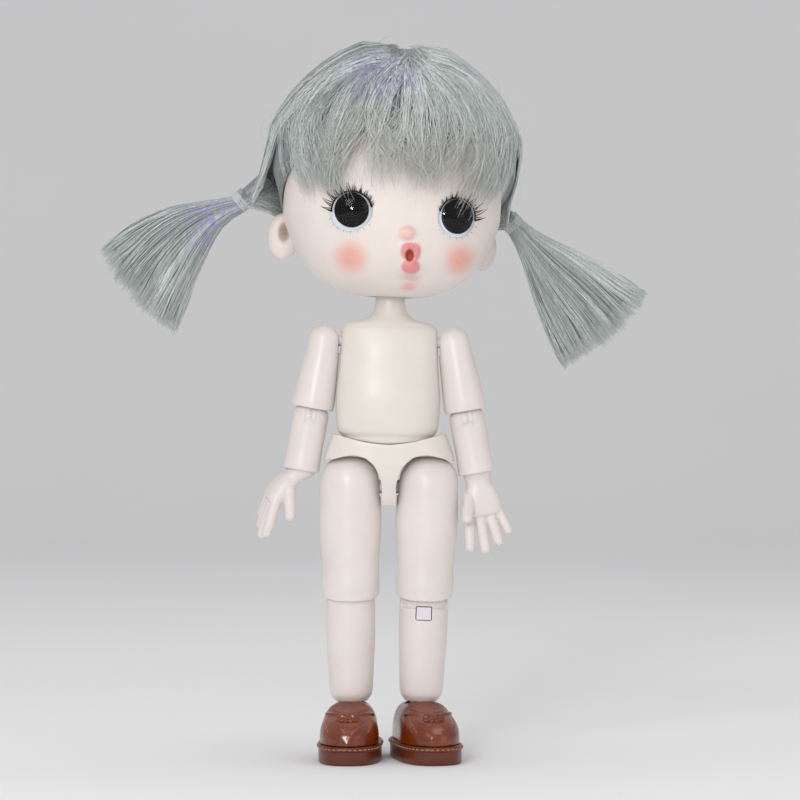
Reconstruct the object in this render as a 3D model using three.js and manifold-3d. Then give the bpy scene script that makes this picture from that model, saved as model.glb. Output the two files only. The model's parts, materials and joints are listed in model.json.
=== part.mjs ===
// A ball jointed doll that stands about 158 mm tall, facing -Y, in millimetres with +Z up.
// Left and right are the doll's own sides, so its left arm is at +X.
import * as THREE from 'three';
import { mergeVertices } from 'three/addons/utils/BufferGeometryUtils.js';
import Module from 'manifold-3d';

const wasm = await Module();
wasm.setup();

// Facets of round pieces
const bodySides = 20;
const limbSides = 14;
const pegSides = 8;
const domeSteps = 4;

// Clearances shared by all pieces
const gap = 0.3;
const overrun = 1;

// Leg, measured between joint centres
const ankleHeight = 13;
const calfLength = 25;
const thighLength = 21.8;
const hipSpacing = 17.2;
const thighWidth = 13.5;
const thighDepth = 13.2;
const calfWidth = 10.7;
const calfDepth = 10.7;
const ankleWidth = 7.1;
const kneeLipDrop = 2;
const kneeLipTilt = 13;
const leftLegLean = 1.9;
const rightLegLean = -0.3;

// Pelvis, heights above the hip centres
const seatRise = 8.6;
const pelvisTopRise = 13.2;
const pelvisSideRise = 5.6;
const pelvisTopWidth = 24.2;
const pelvisSideWidth = 29;
const pelvisDepth = 15.6;
const crotchDrop = 4.2;
const crotchWidth = 3.1;

// Torso, heights above the lowest point of its round bottom
const seatRadius = 22.5;
const waistBallRise = 21.1;
const shoulderRise = 23.5;
const neckBaseRise = 28.9;
const neckTopRise = 33.7;
const neckBallRise = 36.3;
const torsoWidth = 23.3;
const torsoDepth = 16.4;
const neckWidth = 6.4;
const torsoLean = 1.3;

// Arm, measured along the arm
const shoulderSpacing = 28.6;
const upperArmLength = 15.3;
const forearmLength = 13.9;
const shoulderWidth = 7.2;
const upperArmWidth = 9.4;
const forearmWidth = 7.9;
const elbowDrop = 2;
const wristSink = 0.6;
const wristWidth = 6.4;
const handLength = 17.6;
const palmWidth = 8.6;
const palmDepth = 4.8;
const fingerWidth = 2.5;

// Head
const headHeight = 52.7;
const headWidth = 48;
const headFront = 22;
const headBack = 22.5;
const chinDrop = 3.4;
const headOffset = -0.6;
const headYaw = 9;
const headRoll = 3;
const headWall = 1.6;
const backShellDepth = 14;
const eyeSpacing = 21.8;
const eyeRiseShare = 0.3283;
const eyeOpeningWidth = 9;
const eyeOpeningHeight = 8.8;
const eyeBallRadius = 5.9;
const irisRadius = 3.6;
const earHeight = 10.6;

// Hair
const hairSpread = 4.5;
const hairRise = 3.8;
const hairForward = 3;
const fringeRiseShare = 0.439;
const tailLength = 30;
const tailWidth = 27;
const tailDepth = 14;
const tieWidth = 4.8;

// Shoe
const soleThickness = 4;
const shoeLength = 28;
const shoeWidth = 14.2;
const heelBack = 9.5;
const shoeWall = 0.9;
const leftToeOut = 13;
const rightToeOut = -2;

const degree = Math.PI / 180;
const half = 0.5;

// Sizes that follow from the head's
const hairWidth = headWidth + hairSpread * 2;
const hairHeight = headHeight + hairRise;
const hairFront = headFront + hairForward;
const hairBack = headBack + hairSpread;
const eyeRise = headHeight * eyeRiseShare - chinDrop;
const fringeRise = hairHeight * fringeRiseShare - chinDrop;

// Roundness of a cross section: an ellipse, and larger for one nearer a rectangle
const ellipse = 2;

const finishes = {
  skin: new THREE.MeshStandardMaterial({ color: 0xe6d6cf, roughness: 0.42 }),
  torso: new THREE.MeshStandardMaterial({ color: 0xe2d8c4, roughness: 0.45 }),
  face: new THREE.MeshStandardMaterial({ color: 0xe9d8cd, roughness: 0.5 }),
  peg: new THREE.MeshStandardMaterial({ color: 0xe3dbe2, roughness: 0.35 }),
  white: new THREE.MeshStandardMaterial({ color: 0xdfe4ea, roughness: 0.15 }),
  dark: new THREE.MeshStandardMaterial({ color: 0x0a0a0c, roughness: 0.1 }),
  clear: new THREE.MeshStandardMaterial({
    color: 0xf2f6fa, roughness: 0.05, opacity: 0.35, transparent: true,
  }),
  lash: new THREE.MeshStandardMaterial({ color: 0x15110f, roughness: 0.6 }),
  hair: new THREE.MeshStandardMaterial({ color: 0x96a29f, roughness: 0.45 }),
  thread: new THREE.MeshStandardMaterial({ color: 0xb9bdbe, roughness: 0.5 }),
  leather: new THREE.MeshStandardMaterial({ color: 0x7a2f14, roughness: 0.25 }),
  sole: new THREE.MeshStandardMaterial({ color: 0x5b2412, roughness: 0.4 }),
};

// A closed geometry as a solid that can be joined and cut
function solid(geometry) {
  const bare = geometry.clone();
  for (const name of ['normal', 'uv', 'color']) {
    bare.deleteAttribute(name);
  }
  const merged = mergeVertices(bare);
  const vertProperties = new Float32Array(merged.attributes.position.array);
  const triVerts = new Uint32Array(merged.index.array);
  return new wasm.Manifold(new wasm.Mesh({ numProp: 3, vertProperties, triVerts }));
}

// The geometry turned about X, then Y, then Z in degrees and moved to a place
function placed(geometry, place = [0, 0, 0], turn = [0, 0, 0]) {
  const [x, y, z] = turn;
  const rotation = new THREE.Matrix4().makeRotationZ(z * degree);
  rotation.multiply(new THREE.Matrix4().makeRotationY(y * degree));
  rotation.multiply(new THREE.Matrix4().makeRotationX(x * degree));
  const copy = geometry.clone();
  copy.applyMatrix4(rotation);
  copy.translate(...place);
  return copy;
}

function joined(first, ...others) {
  return others.reduce((sum, other) => sum.add(other), first);
}

function cut(first, ...others) {
  return others.reduce((rest, other) => rest.subtract(other), first);
}

// A block given by its lowest and highest corners
function block(low, high) {
  const size = high.map((value, axis) => value - low[axis]);
  const centre = high.map((value, axis) => (value + low[axis]) * half);
  return solid(placed(new THREE.BoxGeometry(...size), centre));
}

function ball(radius, place, scale = [1, 1, 1], sides = limbSides) {
  const geometry = new THREE.SphereGeometry(radius, sides, Math.round(sides * half));
  geometry.rotateX(90 * degree);
  geometry.scale(...scale);
  geometry.translate(...place);
  return solid(geometry);
}

// A round bar along 'x', 'y' or 'z', centred on a place
function bar(radius, length, along, place = [0, 0, 0], sides = pegSides) {
  const geometry = new THREE.CylinderGeometry(radius, radius, length, sides);
  const turns = { x: [0, 0, 90], y: [0, 0, 0], z: [90, 0, 0] };
  return solid(placed(geometry, place, turns[along]));
}

// A turned solid about +Z from [radius, height] points that start and end on the axis
function turned(points, sides = pegSides) {
  const profile = points.map(([radius, height]) => new THREE.Vector2(radius, height));
  const geometry = new THREE.LatheGeometry(profile, sides);
  geometry.rotateX(90 * degree);
  return solid(geometry);
}

function bent(value, roundness) {
  return Math.sign(value) * Math.abs(value) ** (ellipse / roundness);
}

// A closed skin over rings listed from the top down; each ring has x, y, z, half, front, back and round
function loft(rings, topTip, bottomTip, sides = limbSides) {
  const points = [];
  const faces = [];
  for (const ring of rings) {
    for (let step = 0; step < sides; step += 1) {
      const angle = (step / sides) * 2 * Math.PI;
      const depth = Math.sin(angle) < 0 ? ring.front : ring.back;
      const across = ring.half * bent(Math.cos(angle), ring.round);
      points.push(ring.x + across, ring.y + depth * bent(Math.sin(angle), ring.round), ring.z);
    }
  }
  const last = rings.length - 1;
  const topIndex = rings.length * sides;
  points.push(rings[0].x, rings[0].y, topTip);
  points.push(rings[last].x, rings[last].y, bottomTip);
  for (let step = 0; step < sides; step += 1) {
    const next = (step + 1) % sides;
    faces.push(topIndex, step, next);
    faces.push(topIndex + 1, last * sides + next, last * sides + step);
    for (let row = 0; row < last; row += 1) {
      const upper = row * sides;
      const lower = upper + sides;
      faces.push(upper + step, lower + step, lower + next);
      faces.push(upper + step, lower + next, upper + next);
    }
  }
  const geometry = new THREE.BufferGeometry();
  geometry.setAttribute('position', new THREE.Float32BufferAttribute(points, 3));
  geometry.setIndex(faces);
  return geometry;
}

function ring(z, halfWidth, front, back, round = ellipse, x = 0, y = 0) {
  return { x, y, z, half: halfWidth, front, back, round };
}

// Rings of a round top over a centre height, from near its tip down to its widest place
function domeRings(centre, height, halfWidth, front, back, round = ellipse) {
  const rings = [];
  for (let step = 1; step <= domeSteps; step += 1) {
    const angle = (step / domeSteps) * 90 * degree;
    const share = bent(Math.sin(angle), round);
    const z = centre + height * bent(Math.cos(angle), round);
    rings.push(ring(z, halfWidth * share, front * share, back * share));
  }
  return rings;
}

// A prism of constant thickness from a flat outline in X and Z, centred on the plane y = 0
function upright(outline, thickness) {
  const options = { depth: thickness, bevelEnabled: false, curveSegments: pegSides };
  const geometry = new THREE.ExtrudeGeometry(outline, options);
  geometry.translate(0, 0, -thickness * half);
  geometry.rotateX(90 * degree);
  return geometry;
}

// The room a stem sweeps when it turns about a pin along Y, from one angle to another in degrees above +X
function sweep(radius, from, to, thickness) {
  const outline = new THREE.Shape();
  outline.moveTo(0, 0);
  outline.lineTo(radius * Math.cos(from * degree), radius * Math.sin(from * degree));
  outline.absarc(0, 0, radius, from * degree, to * degree, false);
  outline.lineTo(0, 0);
  return upright(outline, thickness);
}

// A sub-part mesh from a solid
function part(name, finish, body) {
  const mesh = body.getMesh();
  const geometry = new THREE.BufferGeometry();
  geometry.setAttribute('position', new THREE.BufferAttribute(new Float32Array(mesh.vertProperties), 3));
  geometry.setIndex(new THREE.BufferAttribute(new Uint32Array(mesh.triVerts), 1));
  const piece = new THREE.Mesh(geometry, finishes[finish]);
  piece.name = name;
  return piece;
}

// Joint centres and axes, kept with the doll for whoever fastens or drives it
const joints = [];

function joint(parent, name, axis, place = [0, 0, 0]) {
  const marker = new THREE.Object3D();
  marker.position.set(...place);
  parent.add(marker);
  joints.push({ name, marker, axis: new THREE.Vector3(...axis) });
}

// A two-way joint peg: its stem turns in one piece along +X, and the other piece turns about its pin along Y
function peg(size) {
  const tongue = bar(size.tongue, size.thickness, 'y');
  const pin = bar(size.pin, size.pinLength, 'y');
  const stem = bar(size.stem, size.length, 'x', [size.length * half, 0, 0]);
  const flangeMiddle = size.length - size.flangeThickness * half;
  const flange = bar(size.flange, size.flangeThickness, 'x', [flangeMiddle, 0, 0]);
  return joined(tongue, pin, stem, flange);
}

// The hole and flange pocket that hold the peg's stem
function pegBore(size) {
  const hole = bar(size.stem + gap, size.length, 'x', [size.length * half, 0, 0]);
  const middle = size.length - size.flangeThickness * half;
  const pocket = bar(size.flange + gap, size.flangeThickness + 2 * gap, 'x', [middle, 0, 0]);
  return joined(hole, pocket);
}

// The slot round the peg's tongue and pin, with the stem free to turn between two angles above +X
function pegSlot(size, reach, from, to) {
  const width = 2 * (Math.max(size.stem, size.thickness * half) + gap);
  const tongue = bar(size.tongue + gap, width, 'y');
  const pin = bar(size.pin + gap, size.pinLength + 2 * gap, 'y');
  const fan = solid(sweep(reach, from, to, width));
  const ends = [from, to].map((angle) => {
    const geometry = new THREE.BoxGeometry(reach, width, 2 * (size.stem + gap));
    geometry.translate(reach * half, 0, 0);
    return solid(placed(geometry, [0, 0, 0], [0, -angle, 0]));
  });
  return joined(tongue, pin, fan, ...ends);
}

// A solid turned and moved through its vertices
function moved(body, place, turn = [0, 0, 0]) {
  const mesh = body.getMesh();
  const geometry = new THREE.BufferGeometry();
  geometry.setAttribute('position', new THREE.BufferAttribute(new Float32Array(mesh.vertProperties), 3));
  geometry.setIndex(new THREE.BufferAttribute(new Uint32Array(mesh.triVerts), 1));
  return solid(placed(geometry, place, turn));
}

// The front and back halves of a shell that is split down its middle plane
function halves(body, reach) {
  const seam = gap * half;
  const front = cut(body, block([-reach, -seam, -reach], [reach, reach, reach]));
  const back = cut(body, block([-reach, -reach, -reach], [reach, seam, reach]));
  return { front, back };
}

// Turns that set a peg upright, with its free side to the back, to the front or across
const uprightToBack = [-90, -90, 0];
const uprightToFront = [-90, -90, 180];
const uprightAcross = [0, -90, 0];

// Leg pieces, each about its own upper joint centre with the leg hanging down
const thighRadius = thighWidth * half;
const calfRadius = calfWidth * half;
const hipPeg = {
  stem: 1.5, length: hipSpacing * half - gap * half, flange: 2.2, flangeThickness: 0.6,
  tongue: 2.7, thickness: 3, pin: 1.2, pinLength: 7,
};
const kneePeg = {
  stem: 1.4, length: 10, flange: 2.2, flangeThickness: 1.2,
  tongue: 2.4, thickness: 2.8, pin: 1.1, pinLength: 6.6,
};
const anklePeg = {
  stem: 0.9, length: 5, flange: 1.4, flangeThickness: 0.8,
  tongue: 1.1, thickness: 1.4, pin: 0.5, pinLength: 2.6,
};
const hipSpread = 40;
const leanSlack = Math.max(Math.abs(leftLegLean), Math.abs(rightLegLean));
const thighTopRound = 2.5;
const kneeBend = 90;
const kneeNotch = 0.8;
const kneeOpening = calfRadius + gap;
const ankleEndDrop = 0.3;
const ankleBall = 2.5;
const ankleRock = 16;
const keyWidth = 3.2;
const keyHeight = 2.8;
const keyDrop = 4.6;
const keyDepth = 2;
const bandWidth = 10;
const bandHeight = 3.6;
const bandDepth = 0.45;

// Shares of thigh length, width, front depth and back depth below the round hip
const thighShares = [
  [0.12, 1, 1, 1],
  [0.37, 1.03, 1, 1],
  [0.62, 0.975, 0.96, 0.97],
  [0.83, 0.935, 0.93, 0.94],
  [1, 0.955, 0.96, 0.96],
  [1.09, 0.93, 0.94, 0.94],
];

function thighBody(side) {
  const rings = domeRings(0, thighRadius, thighRadius, thighDepth * half, thighDepth * half, thighTopRound);
  for (const [drop, width, front, back] of thighShares) {
    const depth = thighDepth * half;
    rings.push(ring(-thighLength * drop, thighRadius * width, depth * front, depth * back));
  }
  const lip = rings[rings.length - 1];
  const low = -thighLength - kneeLipDrop * 2;
  rings.push(ring(low, lip.half, lip.front, lip.back));
  const skin = solid(loft(rings, thighRadius, low));
  const knee = [0, 0, -thighLength];
  const floorCut = new THREE.BoxGeometry(thighWidth * 2, thighWidth * 2, thighWidth);
  floorCut.translate(0, 0, -thighWidth * half);
  const lipCut = solid(placed(floorCut, [0, 0, -thighLength - kneeLipDrop], [kneeLipTilt, 0, 0]));
  const cup = joined(
    ball(kneeOpening, knee),
    bar(kneeOpening, thighRadius, 'z', [0, 0, -thighLength - thighRadius * half], limbSides),
  );
  const notch = block(
    [-thighWidth, kneeNotch, low - overrun],
    [thighWidth, thighDepth, -thighLength + kneeOpening + gap * 2],
  );
  const hipSlot = pegSlot(hipPeg, thighWidth, -leanSlack, hipSpread + leanSlack);
  const turn = side === 'left' ? [0, 0, 180] : [0, 0, 0];
  const kneeBore = moved(pegBore(kneePeg), knee, uprightToBack);
  return cut(skin, lipCut, cup, notch, moved(hipSlot, [0, 0, 0], turn), kneeBore);
}

// Shares of calf length, width, front depth and back depth below the round knee
const calfShares = [
  [0.12, 1, 1, 1],
  [0.4, 1.01, 0.97, 1.06],
  [0.7, 0.95, 0.93, 0.97],
  [0.95, 0.87, 0.87, 0.87],
];

function calfBody(side) {
  const rings = domeRings(0, calfRadius, calfRadius, calfDepth * half, calfDepth * half);
  for (const [drop, width, front, back] of calfShares) {
    const depth = calfDepth * half;
    rings.push(ring(-calfLength * drop, calfRadius * width, depth * front, depth * back));
  }
  const end = -calfLength - ankleEndDrop;
  rings.push(ring(end, ankleWidth * half, ankleWidth * half, ankleWidth * half));
  const skin = solid(loft(rings, calfRadius, end));
  const kneeSlot = moved(pegSlot(kneePeg, calfWidth, 0, kneeBend), [0, 0, 0], uprightToBack);
  const ankle = [0, 0, -calfLength];
  const cup = ball(ankleBall + gap, ankle);
  const ankleBore = moved(pegBore(anklePeg), ankle, uprightToBack);
  const body = cut(skin, kneeSlot, cup, ankleBore);
  if (side === 'right') {
    return body;
  }
  const reach = calfDepth;
  const bandTop = -keyDrop + bandHeight * half + keyHeight * half;
  const band = cut(
    block([-bandWidth * half, -reach, bandTop - bandHeight], [bandWidth * half, 0, bandTop]),
    moved(solid(loft([
      ring(calfRadius, calfRadius - bandDepth, calfRadius - bandDepth, calfRadius - bandDepth),
      ring(-calfWidth, calfRadius - bandDepth, calfRadius - bandDepth, calfRadius - bandDepth),
    ], calfRadius, -calfWidth)), [0, 0, 0]),
  );
  return cut(body, band, keyBody(gap));
}

// The key block in the left shin; a clearance grows it into its seat, open to the front
function keyBody(clearance) {
  const face = -calfRadius + bandDepth * half;
  const front = clearance > 0 ? -calfRadius - overrun : face;
  return block(
    [-keyWidth * half - clearance, front, -keyDrop - keyHeight - clearance],
    [keyWidth * half + clearance, face + keyDepth + clearance, -keyDrop + clearance],
  );
}

// Pelvis, about the middle of the line between the hip centres
const seatGap = 0.45;
const waistFlangeDrop = 2.9;
const waistPeg = {
  radius: 3, stem: 1.8, flange: 3, thickness: 1.2, drop: waistBallRise + waistFlangeDrop,
};
const archGap = 0.35;
const seatSides = 20;
const seatReach = 36;
const seatStep = 6;

// A round-bottomed tool whose lowest point is at a height, following one sphere
function bowl(radius, lowest) {
  const points = [[0, lowest]];
  for (let angle = seatStep; angle <= seatReach; angle += seatStep) {
    points.push([radius * Math.sin(angle * degree), lowest + radius * (1 - Math.cos(angle * degree))]);
  }
  const rim = points[points.length - 1];
  points.push([rim[0], lowest + radius * 2]);
  points.push([0, lowest + radius * 2]);
  return turned(points, seatSides);
}

// Shares of the height from crotch to top, half width, front depth and back depth
const pelvisShares = [
  [1, 0.83, 0.93, 0.93],
  [0.78, 0.93, 1, 1],
  [0.56, 1, 1, 1.02],
  [0.4, 1, 0.93, 1],
  [0.2, 1, 0.74, 0.86],
  [0.06, 1, 0.58, 0.66],
  [0, 1, 0.48, 0.52],
];

const pelvisRound = 2.5;
const archShoulderShare = 0.5;
const archBendShare = 0.25;
const roomShare = 0.66;

// The opening for one thigh: an arch right through, with a round room for the top of the thigh inside
function legOpening(sign) {
  const centre = sign * hipSpacing * half;
  const inner = sign * crotchWidth * half;
  const outer = sign * pelvisSideWidth * half;
  const peak = thighRadius + archGap;
  const low = -pelvisTopRise;
  const outline = new THREE.Shape();
  outline.moveTo(inner, low);
  outline.lineTo(inner, 0);
  const middle = sign * (Math.abs(inner) + (Math.abs(centre) - Math.abs(inner)) * archShoulderShare);
  outline.quadraticCurveTo(inner + (middle - inner) * archBendShare, peak, centre, peak);
  outline.lineTo(outer, pelvisSideRise);
  outline.lineTo(outer + sign * thighRadius, pelvisSideRise - overrun);
  outline.lineTo(outer + sign * thighRadius, low);
  outline.lineTo(inner, low);
  const room = bar(thighRadius + overrun, thighDepth * roomShare, 'y', [centre, 0, 0], bodySides);
  return joined(solid(upright(outline, pelvisDepth * 2)), room);
}

function pelvisBody() {
  const height = pelvisTopRise + crotchDrop;
  const rings = pelvisShares.map(([rise, width, front, back]) => {
    const depth = pelvisDepth * half;
    const z = -crotchDrop + height * rise;
    return ring(z, pelvisSideWidth * half * width, depth * front, depth * back, pelvisRound);
  });
  const skin = solid(loft(rings, pelvisTopRise, -crotchDrop, bodySides));
  const dish = bowl(seatRadius + seatGap, seatRise - seatGap);
  const socketTop = seatRise - waistFlangeDrop;
  const stemHole = bar(waistPeg.stem + gap, waistFlangeDrop * 2, 'z', [0, 0, socketTop + waistFlangeDrop]);
  const flangeRoom = bar(waistPeg.flange + gap, waistPeg.thickness + 2 * gap, 'z', [0, 0, socketTop]);
  const room = hipPeg.flangeThickness * 2 + gap * 3;
  const pegRoom = bar(hipPeg.flange + gap, room, 'x');
  const pegHole = bar(hipPeg.stem + gap, crotchWidth * 2, 'x');
  return cut(skin, dish, legOpening(1), legOpening(-1), stemHole, flangeRoom, pegRoom, pegHole);
}

// A peg with a ball on top, about the ball's centre, with its flange a given drop below
function ballPeg({ radius, stem, flange, thickness, drop }) {
  const points = [[0, -drop - thickness * half], [flange, -drop - thickness * half]];
  points.push([flange, -drop + thickness * half], [stem, -drop + thickness * half]);
  const start = Math.asin(stem / radius) / degree;
  const steps = domeSteps;
  for (let step = 0; step < steps; step += 1) {
    const angle = (start + ((180 - start) * step) / steps) * degree;
    points.push([radius * Math.sin(angle), -radius * Math.cos(angle)]);
  }
  points.push([0, radius]);
  return turned(points);
}

// Torso, about the lowest point of its round bottom
const neckBall = { radius: 3, stem: 1.6, flange: 2.3, thickness: 1, drop: 8.9 };
const shoulderPeg = {
  stem: 1.2, length: 7.8, flange: 2, flangeThickness: 1,
  tongue: 1.7, thickness: 2, pin: 0.8, pinLength: 4.2,
};
const waistSwing = 2.2;
const socketHoldShare = 0.75;
const neckCup = gap * 2;
const neckFlareShare = 1.04;
const torsoRound = 2.35;

// Shares of the height to the neck base, half width, front depth and back depth
const torsoShares = [
  [1.1, 0.285, 0.41, 0.41],
  [1.052, 0.313, 0.435, 0.435],
  [1.024, 0.36, 0.46, 0.46],
  [1, 0.43, 0.49, 0.49],
  [0.979, 0.54, 0.53, 0.54],
  [0.964, 0.7, 0.565, 0.58],
  [0.952, 0.805, 0.59, 0.61],
  [0.931, 0.875, 0.63, 0.65],
  [0.906, 0.915, 0.69, 0.7],
  [0.81, 0.925, 0.78, 0.76],
  [0.704, 0.932, 0.84, 0.8],
  [0.522, 0.965, 0.96, 0.83],
  [0.389, 0.995, 1.02, 0.84],
  [0.226, 0.985, 0.99, 0.83],
  [0.15, 0.96, 0.94, 0.8],
  [0.112, 0.92, 0.89, 0.77],
  [0.074, 0.84, 0.82, 0.72],
];

function torsoBody() {
  const rings = [ring(neckTopRise, neckWidth * half, neckWidth * half, neckWidth * half)];
  for (const [rise, width, front, back] of torsoShares) {
    const depth = torsoDepth * half;
    const roundness = rise > 1 ? ellipse : torsoRound;
    rings.push(ring(neckBaseRise * rise, torsoWidth * half * width, depth * front, depth * back, roundness));
  }
  rings[1].half = neckWidth * half * neckFlareShare;
  const last = rings[rings.length - 1];
  rings.push(ring(-overrun, last.half, last.front, last.back, last.round));
  const skin = solid(loft(rings, neckTopRise, -overrun, bodySides)).intersect(bowl(seatRadius, 0));
  const waist = [0, 0, waistBallRise];
  const socket = ball(waistPeg.radius + gap, waist);
  const wellTop = waistBallRise - waistPeg.radius * socketHoldShare;
  const wellMiddle = (wellTop - overrun) * half;
  const well = bar(waistPeg.stem + waistSwing + gap, wellTop + overrun, 'z', [0, 0, wellMiddle]);
  const neckTop = [0, 0, neckBallRise];
  const cup = ball(neckBall.radius + neckCup, neckTop);
  const flangeRise = neckBallRise - neckBall.drop;
  const neckHole = bar(neckBall.stem + gap, neckBall.drop, 'z', [0, 0, flangeRise + neckBall.drop * half]);
  const neckRoom = bar(neckBall.flange + gap, neckBall.thickness + 2 * gap, 'z', [0, 0, flangeRise]);
  const sides = [1, -1].map((sign) => {
    const turn = sign > 0 ? [0, 0, 180] : [0, 0, 0];
    return moved(pegBore(shoulderPeg), [sign * shoulderSpacing * half, 0, shoulderRise], turn);
  });
  return cut(skin, socket, well, cup, neckHole, neckRoom, ...sides);
}

// Arm pieces, each about its own upper joint centre with the arm hanging down
const shoulderRadius = shoulderWidth * half;
const forearmRadius = forearmWidth * half;
const elbowPeg = {
  stem: 0.9, length: 7, flange: 1.5, flangeThickness: 0.9,
  tongue: 1.6, thickness: 1.8, pin: 0.7, pinLength: 4.8,
};
const wristPeg = {
  stem: 0.7, length: 5, flange: 1.1, flangeThickness: 0.7,
  tongue: 1, thickness: 1.2, pin: 0.5, pinLength: 3,
};
const armRaise = 80;
const elbowBend = 60;
const wristBend = 24;

// The left wrist bends to the front and back, the right one to the sides
const wristTurn = { left: uprightToFront, right: uprightAcross };
const wristAxis = { left: [-1, 0, 0], right: [0, 1, 0] };

// How each hand twists about its own length and then tips over, and how far its fingers and thumb lean
// forward, in degrees
const handTwist = { left: 10, right: 110 };
const handTip = { left: 0, right: 33.5 };
const handCurl = { left: -6, right: -27 };
const thumbCurl = { left: -32, right: -42 };

const elbowReach = upperArmLength + elbowDrop;
const wristReach = forearmLength - elbowDrop - wristSink;

// Shares of upper arm length and of its width at the cuff
const upperArmShares = [
  [0.12, 0.79, 0.82],
  [0.4, 0.87, 0.9],
  [0.7, 0.95, 0.97],
  [0.93, 1, 1],
  [1, 0.97, 0.97],
];
const cuffCupShare = 0.1;
const shoulderSlack = 10;

function upperArmBody(side) {
  const rings = domeRings(0, shoulderRadius, shoulderRadius, shoulderRadius, shoulderRadius);
  const cuff = upperArmWidth * half;
  for (const [drop, width, depth] of upperArmShares) {
    rings.push(ring(-upperArmLength * drop, cuff * width, cuff * depth, cuff * depth));
  }
  const skin = solid(loft(rings, shoulderRadius, -upperArmLength));
  const elbow = [0, 0, -elbowReach];
  const cup = joined(
    ball(forearmRadius + gap, elbow),
    bar(forearmRadius + gap, upperArmLength * cuffCupShare, 'z', [0, 0, -upperArmLength], limbSides),
  );
  const room = pegSlot(shoulderPeg, shoulderWidth, -shoulderSlack, armRaise);
  const slot = moved(room, [0, 0, 0], sideTurn(side));
  const bore = moved(pegBore(elbowPeg), elbow, uprightToFront);
  return cut(skin, cup, slot, bore);
}

function sideTurn(side) {
  return side === 'left' ? [0, 0, 180] : [0, 0, 0];
}

// Shares of forearm length and of its width
const forearmShares = [
  [0.25, 1, 1],
  [0.55, 0.98, 0.98],
  [0.96, 1.03, 1.03],
];

function forearmBody(side) {
  const length = forearmLength - elbowDrop;
  const rings = domeRings(0, forearmRadius, forearmRadius, forearmRadius, forearmRadius);
  for (const [drop, width, depth] of forearmShares) {
    rings.push(ring(-length * drop, forearmRadius * width, forearmRadius * depth, forearmRadius * depth));
  }
  rings.push(ring(-length, forearmRadius, forearmRadius, forearmRadius));
  const skin = solid(loft(rings, forearmRadius, -length));
  const slot = moved(pegSlot(elbowPeg, forearmWidth, 0, elbowBend), [0, 0, 0], uprightToFront);
  const wrist = [0, 0, -wristReach];
  const cup = ball(wristWidth * half + gap, wrist, [1, 1, 1], limbSides);
  const bore = moved(pegBore(wristPeg), wrist, wristTurn[side]);
  return cut(skin, slot, cup, bore);
}

// Shares of hand length, half palm width and half palm depth
const palmShares = [
  [0.16, 0.62, 0.84],
  [0.27, 0.8, 0.94],
  [0.38, 0.93, 0.98],
  [0.5, 1, 0.92],
  [0.57, 0.98, 0.74],
];

// Each finger: where it leaves the palm across its half width, its lean in degrees, and shares of length
const fingerShares = [
  [-0.78, -9, 0.97, 0.95],
  [-0.25, -1, 1, 1],
  [0.27, 7, 0.96, 0.93],
  [0.75, 16, 0.86, 0.74],
];
const fingerTipShares = [
  [0, 1],
  [0.66, 0.93],
  [0.96, 0.76],
  [1, 0.2],
  [0, -0.1],
];
const fingerSides = 6;
const fingerLength = 7.6;
const fingerRootShare = 0.6;
const palmRound = 2.3;

// The thumb's place across and through the palm, its drop and its width
const thumbShares = { across: -0.62, through: -0.2, drop: 0.3, width: 1.08 };
const thumbLength = 7.2;
const thumbLean = -22;

function finger(length, radius) {
  const points = fingerTipShares.map(([width, down]) => [radius * width, -length * down]);
  return turned(points, fingerSides);
}

// A hand turned at the wrist, made with its thumb on the -X side and its fingers curled forward
function handBody(side) {
  const curl = handCurl[side];
  const wristRadius = wristWidth * half;
  const across = palmWidth * half;
  const deep = palmDepth * half;
  const rings = domeRings(0, wristRadius, wristRadius, wristRadius, wristRadius);
  for (const [drop, width, depth] of palmShares) {
    rings.push(ring(-handLength * drop, across * width, deep * depth, deep * depth, palmRound));
  }
  const low = -handLength * fingerRootShare;
  const palm = solid(loft(rings, wristRadius, low));
  const fingers = fingerShares.map(([place, lean, width, length]) => {
    const body = finger(fingerLength * length, fingerWidth * half * width);
    const root = [across * place, 0, -handLength * fingerRootShare + fingerWidth * half];
    return moved(body, root, [curl, -lean, 0]);
  });
  const thumbRoot = [across * thumbShares.across, deep * thumbShares.through, -handLength * thumbShares.drop];
  const thumbBody = finger(thumbLength, fingerWidth * half * thumbShares.width);
  const thumb = moved(thumbBody, thumbRoot, [thumbCurl[side], -thumbLean, 0]);
  const slot = moved(pegSlot(wristPeg, wristWidth, -wristBend, wristBend), [0, 0, 0], wristTurn[side]);
  const twisted = moved(joined(palm, ...fingers, thumb), [0, 0, 0], [0, 0, handTwist[side]]);
  return cut(moved(twisted, [0, 0, 0], [0, handTip[side], 0]), slot);
}

// Head, about the centre of the neck ball and facing -Y before it is turned
const socketBlockRadius = 7.5;
const socketBlockTop = 4;
const socketBlockFloor = -0.8;
const neckOpening = 5;

// Shares of head height above the chin, half width, front depth and back depth
const headShares = [
  [0.975, 0.37, 0.36, 0.38],
  [0.925, 0.58, 0.56, 0.58],
  [0.85, 0.75, 0.73, 0.76],
  [0.77, 0.86, 0.85, 0.87],
  [0.68, 0.93, 0.93, 0.94],
  [0.58, 0.975, 0.98, 0.99],
  [0.47, 0.998, 1, 1],
  [0.36, 1, 1, 0.95],
  [0.29, 0.967, 0.985, 0.88],
  [0.23, 0.915, 0.95, 0.8],
  [0.17, 0.85, 0.89, 0.71],
  [0.11, 0.745, 0.79, 0.61],
  [0.05, 0.56, 0.62, 0.48],
  [0.015, 0.36, 0.42, 0.34],
];

const headRound = 2.25;

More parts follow.
